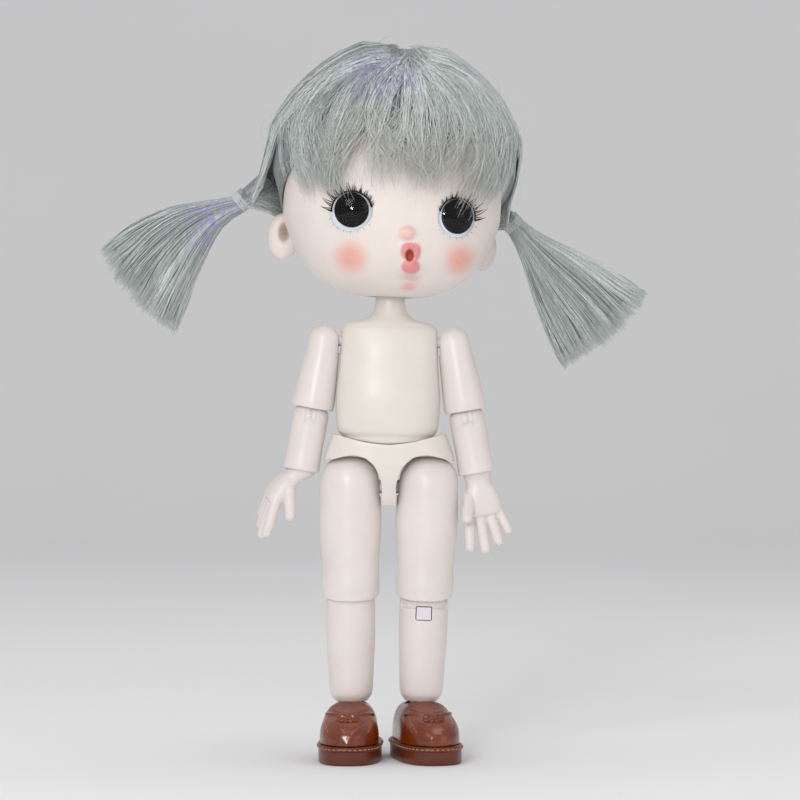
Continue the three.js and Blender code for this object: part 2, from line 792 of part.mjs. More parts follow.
// The head's outer shape, drawn in or swelled by one distance all round
function headForm(grown, sides = bodySides, every = 1) {
  const chosen = headShares.filter((_, index) => index % every === 0);
  const rings = chosen.map(([rise, width, front, back]) => {
    const z = -chinDrop - grown + (headHeight + grown * 2) * rise;
    const across = (headWidth * half + grown) * width;
    return ring(z, across, (headFront + grown) * front, (headBack + grown) * back, headRound, headOffset);
  });
  return solid(loft(rings, headHeight - chinDrop + grown, -chinDrop - grown, sides));
}

const eyeTurn = 17;
const eyeSink = 15.4;
const earSides = 10;
const earWidth = 3.6;
const earSetShare = 0.94;
const earDepth = 2.3;
const earBack = 11;
const earRiseShare = 0.2657;
const earRise = headHeight * earRiseShare - chinDrop;

// The place and turn of one eye in the head
function eyePlace(sign) {
  return [headOffset + sign * eyeSpacing * half, -eyeSink, eyeRise];
}

function earBody(sign, grown) {
  const radius = earHeight * half;
  const place = [headOffset + sign * headWidth * half * earSetShare, earBack, earRise];
  const scale = [earWidth + grown, earDepth + grown, radius + grown].map((size) => size / radius);
  return ball(radius, place, scale, earSides);
}

function headBody() {
  const shell = cut(headForm(0), headForm(-headWall, limbSides, 2));
  const ears = [1, -1].map((sign) => earBody(sign, 0));
  const blockHeight = socketBlockTop + chinDrop - headWall * half;
  const blockMiddle = socketBlockTop - blockHeight * half;
  const socketBlock = bar(socketBlockRadius, blockHeight, 'z', [0, 0, blockMiddle], limbSides);
  const socket = ball(neckBall.radius + gap, [0, 0, 0]);
  const throat = bar(neckOpening, chinDrop * 2, 'z', [0, 0, socketBlockFloor - chinDrop], limbSides);
  const eyeCuts = [1, -1].map((sign) => {
    const opening = new THREE.CylinderGeometry(half, half, headFront, limbSides);
    opening.scale(eyeOpeningWidth, 1, eyeOpeningHeight);
    opening.translate(0, -headFront * half, 0);
    const hole = solid(placed(opening, eyePlace(sign), [0, 0, sign * eyeTurn]));
    return joined(hole, ball(eyeBallRadius + gap, eyePlace(sign)));
  });
  return cut(joined(shell, ...ears, socketBlock), socket, throat, ...eyeCuts);
}

// Eye pieces, about the eyeball's centre and looking along -Y
const irisSeat = 3.7;
const irisThickness = 0.6;
const irisFit = 0.2;
const corneaBulge = 0.35;
const eyeBackShare = 0.25;

function eyeWhite() {
  const front = block([-eyeBallRadius * 2, -eyeBallRadius * 2, -eyeBallRadius * 2], [
    eyeBallRadius * 2, -eyeBallRadius * eyeBackShare, eyeBallRadius * 2,
  ]);
  const middle = -irisSeat - eyeBallRadius * half;
  const pocket = bar(irisRadius + irisFit, eyeBallRadius, 'y', [0, middle, 0], limbSides);
  return cut(ball(eyeBallRadius, [0, 0, 0]).intersect(front), pocket);
}

function eyeIris() {
  const middle = -irisSeat - irisFit - irisThickness * half;
  return bar(irisRadius, irisThickness, 'y', [0, middle, 0], limbSides);
}

function eyeDome() {
  const back = -irisSeat - irisThickness - irisFit * 2;
  const lens = ball(eyeBallRadius + corneaBulge, [0, 0, 0]);
  return lens.intersect(bar(irisRadius, eyeBallRadius, 'y', [0, back - eyeBallRadius * half, 0], limbSides));
}

const lashRadius = 0.18;
const lashCount = 8;
const lashRise = 42;
const lashLength = 2.1;
const lashFrom = 8;
const lashTo = 165;
const lashForward = 5.5;
const lashSides = 4;
const lashOuterShare = 1.15;

// A strip of lashes along the upper edge of the eye, longest at the outer corner
function lashBody(sign) {
  const across = eyeOpeningWidth * half - lashRadius - irisFit;
  const up = eyeOpeningHeight * half - lashRadius - irisFit;
  const along = (share) => {
    const angle = (lashFrom + (lashTo - lashFrom) * share) * degree;
    return [sign * across * Math.cos(angle), up * Math.sin(angle)];
  };
  const pieces = [];
  for (let step = 0; step < lashCount; step += 1) {
    const [x, z] = along(step / (lashCount - 1));
    const [nextX, nextZ] = along(Math.min(step + 1, lashCount - 1) / (lashCount - 1));
    const length = Math.hypot(nextX - x, nextZ - z);
    if (length > 0) {
      const link = new THREE.BoxGeometry(length + lashRadius, lashRadius * 2, lashRadius * 2);
      const tilt = -Math.atan2(nextZ - z, nextX - x) / degree;
      pieces.push(solid(placed(link, [(x + nextX) * half, -lashForward, (z + nextZ) * half], [0, tilt, 0])));
    }
    const reach = lashLength * (lashOuterShare - step / lashCount * half);
    const hair = new THREE.ConeGeometry(lashRadius, reach, lashSides);
    hair.translate(0, reach * half, 0);
    const lean = -Math.atan2(x, z) / degree;
    pieces.push(solid(placed(hair, [x, -lashForward, z], [90 - lashRise, -lean, 0])));
  }
  return joined(...pieces);
}

// Hair, in the head's own place and turn
const hairShares = [
  [0.975, 0.36, 0.38, 0.36],
  [0.92, 0.56, 0.58, 0.56],
  [0.84, 0.74, 0.76, 0.74],
  [0.74, 0.88, 0.9, 0.87],
  [0.62, 0.98, 0.98, 0.95],
  [0.5, 0.97, 1, 0.99],
  [0.38, 0.9, 1, 1],
  [0.24, 0.86, 0.97, 0.96],
  [0.12, 0.82, 0.94, 0.9],
];
const hairRound = 2.2;
const hairlineShare = 0.662;
const hairlineFront = hairHeight * hairlineShare - chinDrop;
const hairlineSlope = 29;
const fringeDepth = 13;
const fringeTilt = 8;

function hairForm() {
  const rings = hairShares.map(([rise, width, front, back]) => {
    const z = -chinDrop + hairHeight * rise;
    return ring(z, hairWidth * half * width, hairFront * front, hairBack * back, hairRound, headOffset);
  });
  const low = rings[rings.length - 1].z;
  return solid(loft(rings, hairHeight - chinDrop, low, bodySides));
}

// Everything below a plane that falls from the front hairline to the nape
function belowHairline(shift) {
  const tool = new THREE.BoxGeometry(hairWidth * 2, hairWidth * 3, hairHeight * 2);
  tool.translate(0, 0, -hairHeight);
  const place = [0, -hairFront, hairlineFront + shift];
  return solid(placed(tool, place, [-hairlineSlope, 0, 0]));
}

// The hair over the bare head and ears
function hairShell() {
  return cut(hairForm(), headForm(gap), earBody(1, gap), earBody(-1, gap));
}

function hairCapBody() {
  return cut(hairShell(), belowHairline(0));
}

function fringeBody() {
  const tool = new THREE.BoxGeometry(hairWidth * 2, hairFront * 2, hairHeight);
  tool.translate(0, -hairFront, hairHeight * half);
  const front = solid(placed(tool, [0, -hairFront + fringeDepth, fringeRise], [fringeTilt, 0, 0]));
  return hairShell().intersect(front).intersect(belowHairline(-gap / Math.cos(hairlineSlope * degree)));
}

// Shares of tail length, half width and half depth from the tie outward
const tailShares = [
  [0, 0.17, 0.32],
  [0.14, 0.26, 0.46],
  [0.4, 0.54, 0.74],
  [0.7, 0.8, 0.94],
  [0.95, 1, 1],
];
const tailRound = 2.3;
const tieLength = 3;

// Shares of the tie's radius at its ends and at the hair that runs through it
const tieShares = { end: 0.86, root: 0.8 };

// Each tie's place as shares of the hair's half width, back depth and height, its turn in degrees, the
// size of its tail and how far its hair runs on into the cap as a share of half the hair's width
const tails = {
  left: { across: 1.042, through: 0.389, rise: 0.3345, degrees: [0.4, -44, -9.2], size: 1.04, root: 0.14 },
  right: { across: -1.146, through: 0.38, rise: 0.3585, degrees: [0.4, 45, -8.7], size: 1, root: 0.24 },
};

// A gathered tail about its tie, spreading downward to a blunt end
function tailBody(size) {
  const start = -tieLength * half;
  const rings = tailShares.map(([drop, width, depth]) => {
    const z = start - tailLength * size * drop;
    return ring(z, tailWidth * half * width, tailDepth * half * depth, tailDepth * half * depth, tailRound);
  });
  return solid(loft(rings, start, start - tailLength * size));
}

// The thread tie, with the gathered root of the tail running through it to the cap
function tieBody(reach) {
  const radius = tieWidth * half;
  const end = tieLength * half - gap;
  const rim = radius * tieShares.end;
  const root = radius * tieShares.root;
  return turned([[0, -end], [rim, -end], [radius, 0], [rim, end], [root, end + reach], [0, end + reach]]);
}

// Foot and shoe, with their own lengthwise shares from toe to heel
const shoeShares = [
  [0.02, 0.3, 0.3],
  [0.09, 0.62, 0.48],
  [0.2, 0.87, 0.62],
  [0.36, 1, 0.74],
  [0.5, 0.98, 0.87],
  [0.58, 0.95, 0.98],
  [0.7, 0.9, 0.97],
  [0.84, 0.84, 0.95],
  [0.95, 0.62, 0.9],
];
const upperHeight = 7.9;
const upperWidth = 12.8;
const collarRadius = 3.5;
const footNeck = 2.2;
const shoeRound = 2.5;
const shoeMiddleShare = 0.05;

// The shoe's inner or outer form above the sole, drawn in by a distance, toe along -Y
function shoeForm(drawnIn) {
  const toe = shoeLength - heelBack - shoeWall;
  const length = shoeLength - shoeWall * 2;
  const rings = shoeShares.map(([back, width, height]) => {
    const middle = upperHeight * shoeMiddleShare;
    const z = toe - drawnIn - (length - drawnIn * 2) * back;
    const top = upperHeight * height - middle - drawnIn;
    const across = (upperWidth * half - drawnIn) * width;
    return ring(z, across, upperHeight * half, top, shoeRound, 0, middle);
  });
  const form = placed(loft(rings, toe - drawnIn, toe - length + drawnIn, limbSides), [0, 0, 0], [90, 0, 0]);
  const reach = shoeLength * 2;
  return cut(solid(form), block([-reach, -reach, -reach], [reach, reach, 0]));
}

// The shoe upper about the floor point under the ankle
function shoeUpper() {
  const seat = soleThickness + gap;
  const outer = shoeForm(0);
  const hollow = shoeForm(shoeWall);
  const collar = bar(collarRadius, upperHeight * 2, 'z', [0, 0, upperHeight], limbSides);
  return moved(cut(outer, hollow, collar), [0, 0, seat]);
}

function footBody() {
  const seat = soleThickness + gap;
  const inner = shoeForm(shoeWall + gap * 2);
  const rootHeight = seat + gap * 2;
  const neckMiddle = (ankleHeight + rootHeight) * half;
  const neck = bar(footNeck, ankleHeight - rootHeight, 'z', [0, 0, neckMiddle], limbSides);
  const top = ball(ankleBall, [0, 0, ankleHeight], [1, 1, 1], pegSides);
  const room = pegSlot(anklePeg, ankleBall * 2, -ankleRock, ankleRock);
  const slot = moved(room, [0, 0, ankleHeight], uprightToBack);
  return cut(joined(moved(inner, [0, 0, seat + gap]), neck, top), slot);
}

// Shares of sole thickness and of its spread
const soleShares = [
  [1, 1],
  [0.86, 1.01],
  [0.7, 0.95],
  [0.12, 0.95],
  [0, 0.92],
];

const soleRound = 2.7;

function shoeSole() {
  const middle = heelBack - shoeLength * half;
  const rings = soleShares.map(([height, spread]) => {
    const reach = shoeLength * half * spread;
    return ring(soleThickness * height, shoeWidth * half * spread, reach, reach, soleRound, 0, middle);
  });
  return solid(loft(rings, soleThickness, 0, bodySides));
}

// A turned and placed group inside another
function group(parent, place = [0, 0, 0], turn = [0, 0, 0]) {
  const holder = new THREE.Group();
  holder.position.set(...place);
  holder.rotation.set(turn[0] * degree, turn[1] * degree, turn[2] * degree, 'ZYX');
  parent.add(holder);
  return holder;
}

// A leg; a leaning one settles at the ankle by what the lean takes from its height
function buildLeg(doll, side, hipHeight) {
  const sign = side === 'left' ? 1 : -1;
  const lean = side === 'left' ? leftLegLean : rightLegLean;
  const hip = group(doll, [sign * hipSpacing * half, 0, hipHeight]);
  const leg = group(hip, [0, 0, 0], [0, lean, 0]);
  const knee = group(leg, [0, 0, -thighLength]);
  const settle = (thighLength + calfLength) * (1 / Math.cos(lean * degree) - 1);
  const ankle = group(knee, [0, 0, -calfLength - settle], [0, -lean, 0]);
  const floor = group(ankle, [0, 0, -ankleHeight]);
  const shoe = group(floor, [0, 0, 0], [0, 0, side === 'left' ? leftToeOut : rightToeOut]);
  joint(hip, `${side}_hip_swing`, [-1, 0, 0]);
  joint(hip, `${side}_hip_spread`, [0, -sign, 0]);
  joint(knee, `${side}_knee_turn`, [0, 0, -sign]);
  joint(knee, `${side}_knee_bend`, [1, 0, 0]);
  joint(ankle, `${side}_ankle_turn`, [0, 0, sign]);
  joint(ankle, `${side}_ankle_rock`, [1, 0, 0]);
  hip.add(part(`${side}_hip_joint`, 'peg', moved(peg(hipPeg), [0, 0, 0], sideTurn(side))));
  const thigh = halves(thighBody(side), thighLength * 2);
  leg.add(part(`${side}_thigh_front`, 'skin', thigh.front));
  leg.add(part(`${side}_thigh_back`, 'skin', thigh.back));
  knee.add(part(`${side}_knee_joint`, 'peg', moved(peg(kneePeg), [0, 0, 0], uprightToBack)));
  const calf = halves(calfBody(side), calfLength * 2);
  knee.add(part(`${side}_calf_front`, 'skin', calf.front));
  knee.add(part(`${side}_calf_back`, 'skin', calf.back));
  if (side === 'left') {
    knee.add(part('left_knee_key', 'peg', keyBody(0)));
  }
  ankle.add(part(`${side}_ankle_joint`, 'peg', moved(peg(anklePeg), [0, 0, 0], uprightToBack)));
  shoe.add(part(`${side}_foot`, 'skin', footBody()));
  shoe.add(part(`${side}_shoe_upper`, 'leather', shoeUpper()));
  shoe.add(part(`${side}_shoe_sole`, 'sole', shoeSole()));
}

const armLean = { left: -10, right: 10.4 };

function buildArm(torso, side) {
  const sign = side === 'left' ? 1 : -1;
  const shoulder = group(torso, [sign * shoulderSpacing * half, 0, shoulderRise]);
  const arm = group(shoulder, [0, 0, 0], [0, armLean[side] - torsoLean, 0]);
  const elbow = group(arm, [0, 0, -elbowReach]);
  const wrist = group(elbow, [0, 0, -wristReach]);
  joint(shoulder, `${side}_shoulder_swing`, [-1, 0, 0]);
  joint(arm, `${side}_shoulder_raise`, [0, -sign, 0]);
  joint(elbow, `${side}_elbow_turn`, [0, 0, sign]);
  joint(elbow, `${side}_elbow_bend`, [-1, 0, 0]);
  joint(wrist, `${side}_wrist_turn`, [0, 0, sign]);
  joint(wrist, `${side}_wrist_bend`, wristAxis[side]);
  shoulder.add(part(`${side}_shoulder_joint`, 'peg', moved(peg(shoulderPeg), [0, 0, 0], sideTurn(side))));
  const upper = halves(upperArmBody(side), upperArmLength * 2);
  arm.add(part(`${side}_upper_arm_front`, 'skin', upper.front));
  arm.add(part(`${side}_upper_arm_back`, 'skin', upper.back));
  elbow.add(part(`${side}_elbow_joint`, 'peg', moved(peg(elbowPeg), [0, 0, 0], uprightToFront)));
  elbow.add(part(`${side}_forearm`, 'skin', forearmBody(side)));
  wrist.add(part(`${side}_wrist_peg`, 'peg', moved(peg(wristPeg), [0, 0, 0], wristTurn[side])));
  wrist.add(part(`${side}_hand`, 'skin', handBody(side)));
}

function buildHead(torso) {
  const head = group(torso, [0, 0, neckBallRise], [0, headRoll - torsoLean, headYaw]);
  joint(torso, 'head_turn', [0, 0, 1], [0, 0, neckBallRise]);
  joint(head, 'head_nod', [1, 0, 0]);
  const pegHolder = group(torso, [0, 0, neckBallRise]);
  pegHolder.add(part('neck_peg', 'peg', ballPeg(neckBall)));
  const shell = headBody();
  const reach = headHeight * 2;
  const seam = gap * half;
  const frontSide = block([-reach, -reach, -reach], [reach, backShellDepth - seam, reach]);
  const backSide = block([-reach, backShellDepth + seam, -reach], [reach, reach, reach]);
  head.add(part('head_face', 'face', shell.intersect(frontSide)));
  head.add(part('head_back', 'face', shell.intersect(backSide)));
  for (const [side, sign] of [['left', 1], ['right', -1]]) {
    const eye = group(head, eyePlace(sign), [0, 0, sign * eyeTurn]);
    eye.add(part(`${side}_eye_white`, 'white', eyeWhite()));
    eye.add(part(`${side}_eye_iris`, 'dark', eyeIris()));
    eye.add(part(`${side}_eye_dome`, 'clear', eyeDome()));
    eye.add(part(`${side}_eyelashes`, 'lash', lashBody(sign)));
  }
  head.add(part('hair_cap', 'hair', hairCapBody()));
  head.add(part('hair_fringe', 'hair', fringeBody()));
  for (const [side, tail] of Object.entries(tails)) {
    const across = headOffset + hairWidth * half * tail.across;
    const rise = hairHeight * tail.rise - chinDrop;
    const holder = group(head, [across, hairBack * tail.through, rise], tail.degrees);
    holder.add(part(`${side}_hair_tie`, 'thread', tieBody(hairWidth * half * tail.root)));
    holder.add(part(`${side}_side_tail`, 'hair', tailBody(tail.size)));
  }
}

// Moves the doll until the middle of its overall box stands over the origin
function centreOverFloor(doll) {
  doll.updateMatrixWorld(true);
  const everyVertex = true;
  const middle = new THREE.Box3().setFromObject(doll, everyVertex).getCenter(new THREE.Vector3());
  doll.position.set(-middle.x, -middle.y, 0);
  doll.updateMatrixWorld(true);
}

function buildDoll() {
  const doll = new THREE.Group();
  const hipHeight = ankleHeight + calfLength + thighLength;
  const pelvisHolder = group(doll, [0, 0, hipHeight]);
  const pelvis = halves(pelvisBody(), pelvisSideWidth * 2);
  pelvisHolder.add(part('pelvis_front', 'torso', pelvis.front));
  pelvisHolder.add(part('pelvis_back', 'torso', pelvis.back));
  const waist = group(doll, [0, 0, hipHeight + seatRise + waistBallRise]);
  joint(waist, 'waist_turn', [0, 0, 1]);
  joint(waist, 'waist_bend', [1, 0, 0]);
  waist.add(part('waist_peg', 'peg', ballPeg(waistPeg)));
  const torso = group(group(waist, [0, 0, 0], [0, torsoLean, 0]), [0, 0, -waistBallRise]);
  const shell = halves(torsoBody(), torsoWidth * 2);
  torso.add(part('torso_front', 'torso', shell.front));
  torso.add(part('torso_back', 'torso', shell.back));
  buildHead(torso);
  for (const side of ['left', 'right']) {
    buildArm(torso, side);
    buildLeg(doll, side, hipHeight);
  }
  centreOverFloor(doll);
  doll.userData.joints = joints.map(({ name, marker, axis }) => ({
    name,
    place: new THREE.Vector3().setFromMatrixPosition(marker.matrixWorld).toArray(),
    axis: axis.clone().transformDirection(marker.matrixWorld).toArray(),
  }));
  return doll;
}

export default buildDoll();
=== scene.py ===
"""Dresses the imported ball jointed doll: moulded shells, glassy eyes, strands of hair and glossy shoes.

Every piece is formed in millimetres about its own joint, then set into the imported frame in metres.
The doll faces -Y, and left and right are its own sides.
"""

from __future__ import annotations

import json
import logging
import math
from dataclasses import dataclass, replace
from enum import Enum
from typing import Iterable, Sequence

import bmesh
import bpy
import numpy as np
from mathutils import Matrix, Vector
from mathutils.bvhtree import BVHTree

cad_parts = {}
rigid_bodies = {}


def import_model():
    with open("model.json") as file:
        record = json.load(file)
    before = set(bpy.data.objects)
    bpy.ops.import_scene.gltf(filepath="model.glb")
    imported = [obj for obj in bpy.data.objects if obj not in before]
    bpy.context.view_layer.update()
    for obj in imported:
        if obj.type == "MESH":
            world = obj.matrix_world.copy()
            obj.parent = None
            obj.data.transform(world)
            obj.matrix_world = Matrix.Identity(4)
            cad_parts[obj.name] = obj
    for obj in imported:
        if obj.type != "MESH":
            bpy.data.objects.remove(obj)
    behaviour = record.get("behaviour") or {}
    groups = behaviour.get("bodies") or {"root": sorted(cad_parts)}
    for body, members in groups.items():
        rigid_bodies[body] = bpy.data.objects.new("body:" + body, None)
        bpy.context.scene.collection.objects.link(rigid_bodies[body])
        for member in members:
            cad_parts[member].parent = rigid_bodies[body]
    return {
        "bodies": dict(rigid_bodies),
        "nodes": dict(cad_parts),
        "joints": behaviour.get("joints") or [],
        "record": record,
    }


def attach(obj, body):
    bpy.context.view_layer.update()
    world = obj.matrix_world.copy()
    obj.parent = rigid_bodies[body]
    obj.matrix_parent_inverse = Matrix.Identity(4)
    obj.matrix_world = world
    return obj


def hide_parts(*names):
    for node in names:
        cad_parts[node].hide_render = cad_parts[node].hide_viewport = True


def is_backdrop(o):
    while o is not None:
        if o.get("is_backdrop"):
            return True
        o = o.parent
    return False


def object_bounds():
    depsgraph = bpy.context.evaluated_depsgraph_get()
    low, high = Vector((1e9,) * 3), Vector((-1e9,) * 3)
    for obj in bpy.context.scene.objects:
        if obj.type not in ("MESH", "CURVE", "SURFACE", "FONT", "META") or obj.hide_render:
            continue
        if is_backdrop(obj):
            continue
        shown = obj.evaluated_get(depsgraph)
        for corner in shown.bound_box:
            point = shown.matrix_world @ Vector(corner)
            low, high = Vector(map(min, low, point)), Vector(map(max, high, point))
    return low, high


log = logging.getLogger("doll")

MM = 0.001
SEED = 20
ELLIPSE = 2.0

SHARP = 40.0

Array = np.ndarray
Numbers = Sequence[float]
Triple = tuple[float, float, float]
Colour = Triple
Shares = tuple[tuple[float, ...], ...]
Strands = tuple[Array, Array, Array]
Random = np.random.Generator
Piece = bpy.types.Object
Finish = bpy.types.Material
Socket = bpy.types.NodeSocket


class Side(Enum):
    """The doll's own sides."""

    LEFT = "left"
    RIGHT = "right"

    @property
    def sign(self) -> float:
        """+1 on the doll's left, where X grows, and -1 on its right."""
        return 1.0 if self is Side.LEFT else -1.0


# Places


@dataclass(frozen=True)
class Place:
    """Where a group of pieces stands: an origin in metres and three unit axes."""

    origin: Vector
    x: Vector
    y: Vector
    z: Vector

    @classmethod
    def of_axes(cls, origin: Vector, up: Vector, back: Vector) -> Place:
        """A place from its upward axis and a rough backward direction.

        Args:
            origin: The place's origin in metres.
            up: The direction of its +Z.
            back: A direction near its +Y.

        Returns:
            The place with square unit axes.
        """
        z = up.normalized()
        x = back.cross(z).normalized()
        return cls(origin, x, z.cross(x), z)

    @classmethod
    def level(cls, origin: Vector) -> Place:
        """A place whose axes are the frame's own."""
        return cls(origin, Vector((1, 0, 0)), Vector((0, 1, 0)), Vector((0, 0, 1)))

    def matrix(self) -> Matrix:
        """The matrix from local millimetres to metres in the frame."""
        turn = Matrix((self.x, self.y, self.z)).transposed()
        return Matrix.Translation(self.origin) @ (turn * MM).to_4x4()

    def at(self, x: float, y: float, z: float) -> Vector:
        """The point in metres that lies at local millimetres x, y and z."""
        return self.origin + (self.x * x + self.y * y + self.z * z) * MM

    def moved(self, x: float, y: float, z: float, turn: Numbers = (0, 0, 0)) -> Place:
        """A place at a local point, turned about local X, then Y, then Z.

        Args:
            x: Local place along X in millimetres.
            y: Local place along Y in millimetres.
            z: Local place along Z in millimetres.
            turn: Degrees about X, Y and Z.

        Returns:
            The new place.
        """
        local = turning(turn)
        axes = [self.x * c[0] + self.y * c[1] + self.z * c[2] for c in local.transposed()]
        return Place(self.at(x, y, z), *axes)


def turning(turn: Numbers) -> Matrix:
    """The rotation about X, then Y, then Z.

    Args:
        turn: Degrees about X, Y and Z.

    Returns:
        A 3 by 3 matrix.
    """
    about_x, about_y, about_z = (Matrix.Rotation(math.radians(a), 3, n) for a, n in zip(turn, "XYZ"))
    return about_z @ about_y @ about_x


# Forms in millimetres


@dataclass(frozen=True)
class Ring:
    """One level cross section of a lofted form."""

    z: float
    half: float
    front: float
    back: float
    round: float = ELLIPSE
    x: float = 0.0
    y: float = 0.0

    def row(self) -> tuple[float, ...]:
        """The ring's numbers in a fixed order."""
        return (self.z, self.half, self.front, self.back, self.round, self.x, self.y)


def bent(values: Array, roundness: Array) -> Array:
    """Sines or cosines pushed towards a rectangle's, as a superellipse does."""
    return np.sign(values) * np.abs(values) ** (ELLIPSE / roundness)


def dome_rings(height: float, ring: Ring, steps: int = 7) -> list[Ring]:
    """Rings of a round top from near its tip down to its widest ring.

    Args:
        height: Height of the tip above the widest ring.
        ring: The widest ring.
        steps: Number of rings.

    Returns:
        The rings, the widest last.
    """
    rings = []
    for step in range(1, steps + 1):
        angle = math.pi / 2 * step / steps
        share = math.sin(angle) ** (ELLIPSE / ring.round)
        rise = height * math.cos(angle) ** (ELLIPSE / ring.round)
        rings.append(
            replace(ring, z=ring.z + rise, half=ring.half * share, front=ring.front * share,
                    back=ring.back * share, round=ELLIPSE)
        )
    return rings


def glide(table: Array, steps: int) -> Array:
    """Rows run smoothly through a table of rows, without passing their extremes.

    Args:
        table: Rows to pass through.
        steps: Number of rows between two of them.

    Returns:
        The longer table.
    """
    slopes = np.diff(table, axis=0)
    same = slopes[:-1] * slopes[1:] > 0
    safe = np.where(same, slopes[:-1] + slopes[1:], 1.0)
    inner = np.where(same, 2 * slopes[:-1] * slopes[1:] / safe, 0.0)
    ends = np.vstack([slopes[:1], inner, slopes[-1:]])
    rows = []
    for index in range(len(slopes)):
        for step in range(steps):
            t = step / steps
            start = (1 + 2 * t) * (1 - t) ** 2 * table[index] + t * (1 - t) ** 2 * ends[index]
            stop = t * t * (3 - 2 * t) * table[index + 1] - t * t * (1 - t) * ends[index + 1]
            rows.append(start + stop)
    rows.append(table[-1])
    return np.array(rows)


def skin(rows: Array, sides: int) -> Array:
    """Points round each ring of a table of ring numbers, as an array of rings, sides and X, Y, Z."""
    z, half, front, back, roundness, x, y = (rows[:, [i]] for i in range(7))
    angle = np.linspace(0, 2 * math.pi, sides, endpoint=False)[None, :]
    across = x + half * bent(np.cos(angle), roundness)
    depth = np.where(np.sin(angle) < 0, front, back)
    through = y + depth * bent(np.sin(angle), roundness)
    return np.stack([across, through, np.broadcast_to(z, across.shape)], axis=-1)


def grid_faces(rows: int, sides: int) -> list[tuple[int, ...]]:
    """Four-sided faces between neighbouring rings of points, wound to face outward from the top down."""
    faces = []
    for row in range(rows - 1):
        for side in range(sides):
            right = (side + 1) % sides
            upper, lower = row * sides, (row + 1) * sides
            faces.append((upper + side, lower + side, lower + right, upper + right))
    return faces


def mesh_object(name: str, points: Array | Sequence[Numbers], faces: Sequence[Sequence[int]]) -> Piece:
    """A mesh object of a name, from points and faces."""
    mesh = bpy.data.meshes.new(name)
    mesh.from_pydata([tuple(map(float, p)) for p in points], [], [tuple(f) for f in faces])
    mesh.update()
    piece = bpy.data.objects.new(name, mesh)
    bpy.context.scene.collection.objects.link(piece)
    return piece


def closed(name: str, points: Array, tips: Sequence[Numbers]) -> Piece:
    """A closed form over an array of rings, sides and X, Y, Z, with a tip above it and one below."""
    count, sides = points.shape[:2]
    faces = grid_faces(count, sides)
    for side in range(sides):
        right = (side + 1) % sides
        faces.append((count * sides, side, right))
        faces.append((count * sides + 1, (count - 1) * sides + right, (count - 1) * sides + side))
    return mesh_object(name, np.vstack([points.reshape(-1, 3), tips]), faces)


def stacked(
    shares: Shares, run: float, half: float, front: float, back: float, round: float = ELLIPSE,
    base: float = 0.0, x: float = 0.0,
) -> list[Ring]:
    """Rings from a table of shares.

    Args:
        shares: Rows of the share of the run, of the half width and of the depth to the front and back,
            or one depth for both.
        run: The length along Z that the table spreads over.
        half: The full half width.
        front: The full depth to the front.
        back: The full depth to the back.
        round: The rings' roundness.
        base: Height of the run's start.
        x: The rings' place along X.

    Returns:
        The rings in the table's order.
    """
    return [
        Ring(base + run * row[0], half * row[1], front * row[2], back * row[-1], round, x) for row in shares
    ]


def loft(name: str, rings: Sequence[Ring], top: float, bottom: float, sides: int = 48, steps: int = 4) -> Piece:
    """A closed form over rings listed from the top down.

    Args:
        name: The object's name.
        rings: The rings to pass through.
        top: Height of the upper tip.
        bottom: Height of the lower tip.
        sides: Points round each ring.
        steps: Rings made between two given ones.

    Returns:
        The closed mesh object.
    """
    rows = glide(np.array([ring.row() for ring in rings]), steps)
    tips = [(rows[0, 5], rows[0, 6], top), (rows[-1, 5], rows[-1, 6], bottom)]
    return closed(name, skin(rows, sides), tips)


def turned(name: str, profile: Sequence[Numbers], sides: int = 32) -> Piece:
    """A turned form about +Z from (radius, height) points that start and end on the axis, from the top down."""
    rows = np.array([Ring(height, radius, radius, radius).row() for radius, height in profile[1:-1]])
    return closed(name, skin(rows, sides), [(0, 0, profile[0][1]), (0, 0, profile[-1][1])])


def block(low: Numbers, high: Numbers) -> Piece:
    """A square-edged block between its lowest and highest corners."""
    corners = [(x, y, z) for x in (low[0], high[0]) for y in (low[1], high[1]) for z in (low[2], high[2])]
    faces = [(0, 1, 3, 2), (4, 6, 7, 5), (0, 4, 5, 1), (2, 3, 7, 6), (0, 2, 6, 4), (1, 5, 7, 3)]
    return mesh_object("block", corners, faces)


def ball(radius: float, place: Numbers = (0, 0, 0), scale: Numbers = (1, 1, 1), sides: int = 32) -> Piece:
    """A ball, stretched along X, Y and Z by a scale, at a place."""
    steps = sides // 2
    angles = [math.pi * step / steps for step in range(steps + 1)]
    piece = turned("ball", [(radius * math.sin(a), radius * math.cos(a)) for a in angles], sides)
    shift(piece, Matrix.Translation(place) @ Matrix.Diagonal((*scale, 1)))
    return piece


def bar(radius: float, start: Numbers, end: Numbers, sides: int = 28) -> Piece:
    """A round bar from one point to another."""
    low, high = Vector(start), Vector(end)
    run = high - low
    piece = turned("bar", [(0, run.length), (radius, run.length), (radius, 0), (0, 0)], sides)
    shift(piece, Matrix.Translation(low) @ Vector((0, 0, 1)).rotation_difference(run).to_matrix().to_4x4())
    return piece


def rod(axis: str, radius: float, low: float, high: float, sides: int = 28) -> Piece:
    """A round bar on local X, Y or Z, from one place on it to another."""
    start, end = ([place if name == axis else 0 for name in "XYZ"] for place in (low, high))
    return bar(radius, start, end, sides)


def shift(piece: Piece, matrix: Matrix) -> Piece:
    """Moves a piece through its vertices."""
    piece.data.transform(matrix)
    piece.data.update()
    return piece


# Working the forms


class Cut(Enum):
    """How a tool changes a form."""

    AWAY = "DIFFERENCE"
    JOIN = "UNION"
    KEEP = "INTERSECT"


def bake(piece: Piece) -> Piece:
    """Applies a piece's modifiers to its mesh."""
    graph = bpy.context.evaluated_depsgraph_get()
    mesh = bpy.data.meshes.new_from_object(piece.evaluated_get(graph))
    old = piece.data
    piece.modifiers.clear()
    piece.data = mesh
    bpy.data.meshes.remove(old)
    mesh.name = piece.name
    return piece


